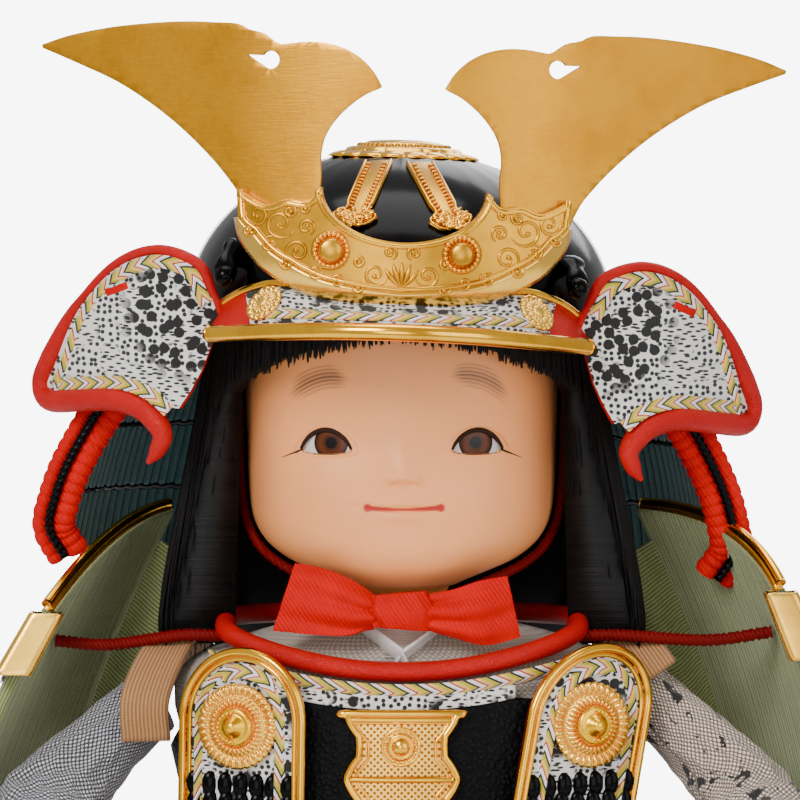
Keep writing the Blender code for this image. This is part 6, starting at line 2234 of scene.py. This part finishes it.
@dataclass
class LowerBody:
    """Seated trousers, fur-topped boots and four laced skirt panels."""

    trousers: Bulk = Bulk(
        ((0.3, 70, -64, 40), (14, 74, -68, 43), (26, 71, -63, 41), (34, 62, -52, 37), (39.7, 50, -38, 33)), 2.6
    )

    def build(self) -> None:
        """Make the trousers, boots and skirt panels."""
        a = circle(240)[None]
        t = np.linspace(0, 1, 50)[:, None]
        z = 0.3 + 39.4 * t
        folds = drape(t, a * 3, 0.7, 3.2) * smooth(t / 0.12) * smooth((1 - t) / 0.12) - 1.2 * smooth(t / 0.1)
        grid = self.trousers.at(a, z, folds)
        uv = stacked(a * 62, z * 1.5)
        cloth = Builder.body("stuffed_trousers", grid, DARK_BROCADE, uv)
        puff(cloth, 240, 1.6)
        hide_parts("trousers")
        for side, word in SIDES:
            self.boot(side, word)
        for word, spread, turn in (("front", 30, 0), ("right", 27, 90), ("back", 30, 180), ("left", 27, 270)):
            self.panel(word, math.radians(spread), math.radians(turn))
        LOG.info("lower body")

    def boot(self, side: int, word: str) -> None:
        """A rounded shoe of black fur: z = tall (1 - r^2.4)^(1/2.4) over a long oval sole.

        Args:
            side: -1 or 1.
            word: left or right.
        """
        a = circle(72)[None]
        h = np.linspace(0, 1, 26)[:, None]
        level = (1 - h**2.2) ** (1 / 2.2)
        level[-1] = 0.06
        nap = 0.25 * np.sin(a * 23 + h * 31) * np.sin(a * 17 - h * 19)
        x = side * 30.0 + (10.6 + nap) * level * np.cos(a)
        y = -80.4 + (12.9 + nap) * level * np.sin(a)
        z = 0.3 + 16.2 * h + 0 * a
        grid = stacked(x, y, z)
        boot = Builder.body(f"fur_boot_{word}", grid, BLACK_HAIR, grid[..., [0, 2]])
        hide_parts(f"boot_{word}")
        ring = np.stack([side * 30 + 10.9 * np.cos(a[0]), -80.4 + 13.2 * np.sin(a[0]), np.full(72, 1.6)], 1)
        Builder.tube(f"boot_welt_{word}", ring, 0.9, TAN_SATIN, 8, closed=True)

    def panel(self, word: str, spread: float, turn: float) -> None:
        """One skirt panel: rows of lacing that step outward, with braid between the rows and at the hem.

        Args:
            word: which panel.
            spread: half its angle at the waist.
            turn: the way it faces.
        """
        heights, outs = (57.0, 46.0, 40.5, 34.5), (0.0, 5.5, 11.5, 22.0)
        a, t = np.meshgrid(turn + np.linspace(-spread, spread, 90), np.linspace(0, 1, 60), indexing="ij")
        z = 57.0 - 22.5 * t
        out = np.interp(z[:, ::-1], heights[::-1], outs[::-1])[:, ::-1]
        cell = (t * 4) % 1.0
        relief = 2.0 + 0.7 * cell - 0.7 * smooth((cell - 0.9) / 0.1) + 0.3 * np.abs(np.sin(a * 40))
        waist = Bulk(((30, 48.9, -36.9, 33.9), (60, 48.9, -36.9, 33.9)), 2.2)
        grid = waist.at(a, z, out + relief)
        uv = np.stack([a * 45, t * 40], -1)
        piece = Builder.sheet(f"laced_skirt_{word}", grid, RED_LACING, 1.8, uv, offset=1.0, crease=True)
        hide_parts(f"tasset_{word}")
        for k, at in enumerate((0.23, 0.48, 0.73, 0.97)):
            angles = turn + np.linspace(-spread, spread, 90)
            high = 57.0 - 22.5 * at
            wide = float(np.interp(high, heights[::-1], outs[::-1])) + 2.9
            path = waist.at(angles, np.full(90, high), wide)
            away = np.stack([0.5 * np.sin(angles), -0.5 * np.cos(angles), np.full(90, -0.8)], 1)
            strip(f"skirt_braid_{word}_{k}", path, unit(away), 2.0, ROPE_BRAID, 0.3, 0.4)


@dataclass
class Studio:
    """Plain pale room, soft light and the camera of the photograph."""

    distance: float = 1.25
    elevation: float = 2.0
    width: float = 0.176
    target: tuple[float, float, float] = (-0.0004, -0.032, 0.1606)

    def build(self) -> None:
        """Set the world, the floor, five soft lights and the camera."""
        world = bpy.data.worlds.new("pale_room")
        world.use_nodes = True
        tree = world.node_tree
        shade = tree.nodes["Background"]
        where = tree.nodes.new("ShaderNodeSeparateXYZ")
        tree.links.new(tree.nodes.new("ShaderNodeTexCoord").outputs["Generated"], where.inputs[0])
        glow = tree.nodes.new("ShaderNodeMapRange")
        tree.links.new(where.outputs["Y"], glow.inputs[0])
        for key, value in ((1, 0.984), (2, 0.99), (3, 0.6), (4, 8.0)):
            glow.inputs[key].default_value = value
        tree.links.new(glow.outputs[0], shade.inputs["Strength"])
        shade.inputs["Color"].default_value = (1.0, 1.0, 1.0, 1.0)
        bpy.context.scene.world = world
        data = bpy.data.meshes.new("table")
        data.from_pydata([(-0.3, -0.3, 0), (0.3, -0.3, 0), (0.3, 0.3, 0), (-0.3, 0.3, 0)], [], [(0, 1, 2, 3)])
        floor = bpy.data.objects.new("table", data)
        bpy.context.scene.collection.objects.link(floor)
        graph = Graph("white_paper_sweep")
        grain = graph.add("TexNoise", {"Vector": graph.add("TexCoord", out="Object"), "Scale": 300.0})
        graph.set(Base_Color="F6F6F4", Roughness=graph.span(grain, 0.85, 1.0))
        data.materials.append(graph.material)
        for name, place, power, size in (
            ("key", (-0.5, -0.95, 0.75), 12.0, 0.45),
            ("fill", (0.8, -0.9, 0.35), 4.5, 0.8),
            ("low", (-0.1, -1.2, 0.12), 2.2, 0.5),
            ("top", (0.0, 0.1, 1.2), 7.0, 0.7),
            ("rim", (0.3, 0.9, 0.7), 4.0, 0.6),
        ):
            light = bpy.data.lights.new(name, "AREA")
            light.energy, light.size = power, size
            lamp = bpy.data.objects.new(name, light)
            lamp.location = place
            lamp.rotation_euler = (Vector((0, 0, 0.13)) - Vector(place)).to_track_quat("-Z", "Y").to_euler()
            bpy.context.scene.collection.objects.link(lamp)
        lens = bpy.data.cameras.new("photo")
        lens.lens = lens.sensor_width * self.distance / self.width
        camera = bpy.data.objects.new("photo", lens)
        rise = math.radians(self.elevation)
        away = Vector((0, -math.cos(rise), math.sin(rise))) * self.distance
        camera.location = Vector(self.target) + away
        camera.rotation_euler = (-away).to_track_quat("-Z", "Y").to_euler()
        bpy.context.scene.collection.objects.link(camera)
        bpy.context.scene.camera = camera


def main() -> None:
    """Build the doll from the helmet down, then the studio."""
    logging.basicConfig(level=logging.INFO, format="%(name)s: %(message)s")
    Horns().build()
    CrestBase().build()
    Bowl().build()
    Visor().build()
    EarFlap(-1).build()
    EarFlap(1).build()
    NeckGuard().build()
    Face().build()
    Wig().build()
    ChinTie().build()
    NeckDress().build()
    Cuirass().build()
    # One brocade for both sleeves: a shaded copy on the left and a lit copy on the right.
    for side, brocade in ((-1, SHADED_COPY_BROCADE), (1, LIT_COPY_BROCADE)):
        Arm(side, brocade).build()
        ShoulderGuard(side).build()
    LowerBody().build()
    Studio().build()


if __name__ == "__main__":
    main()
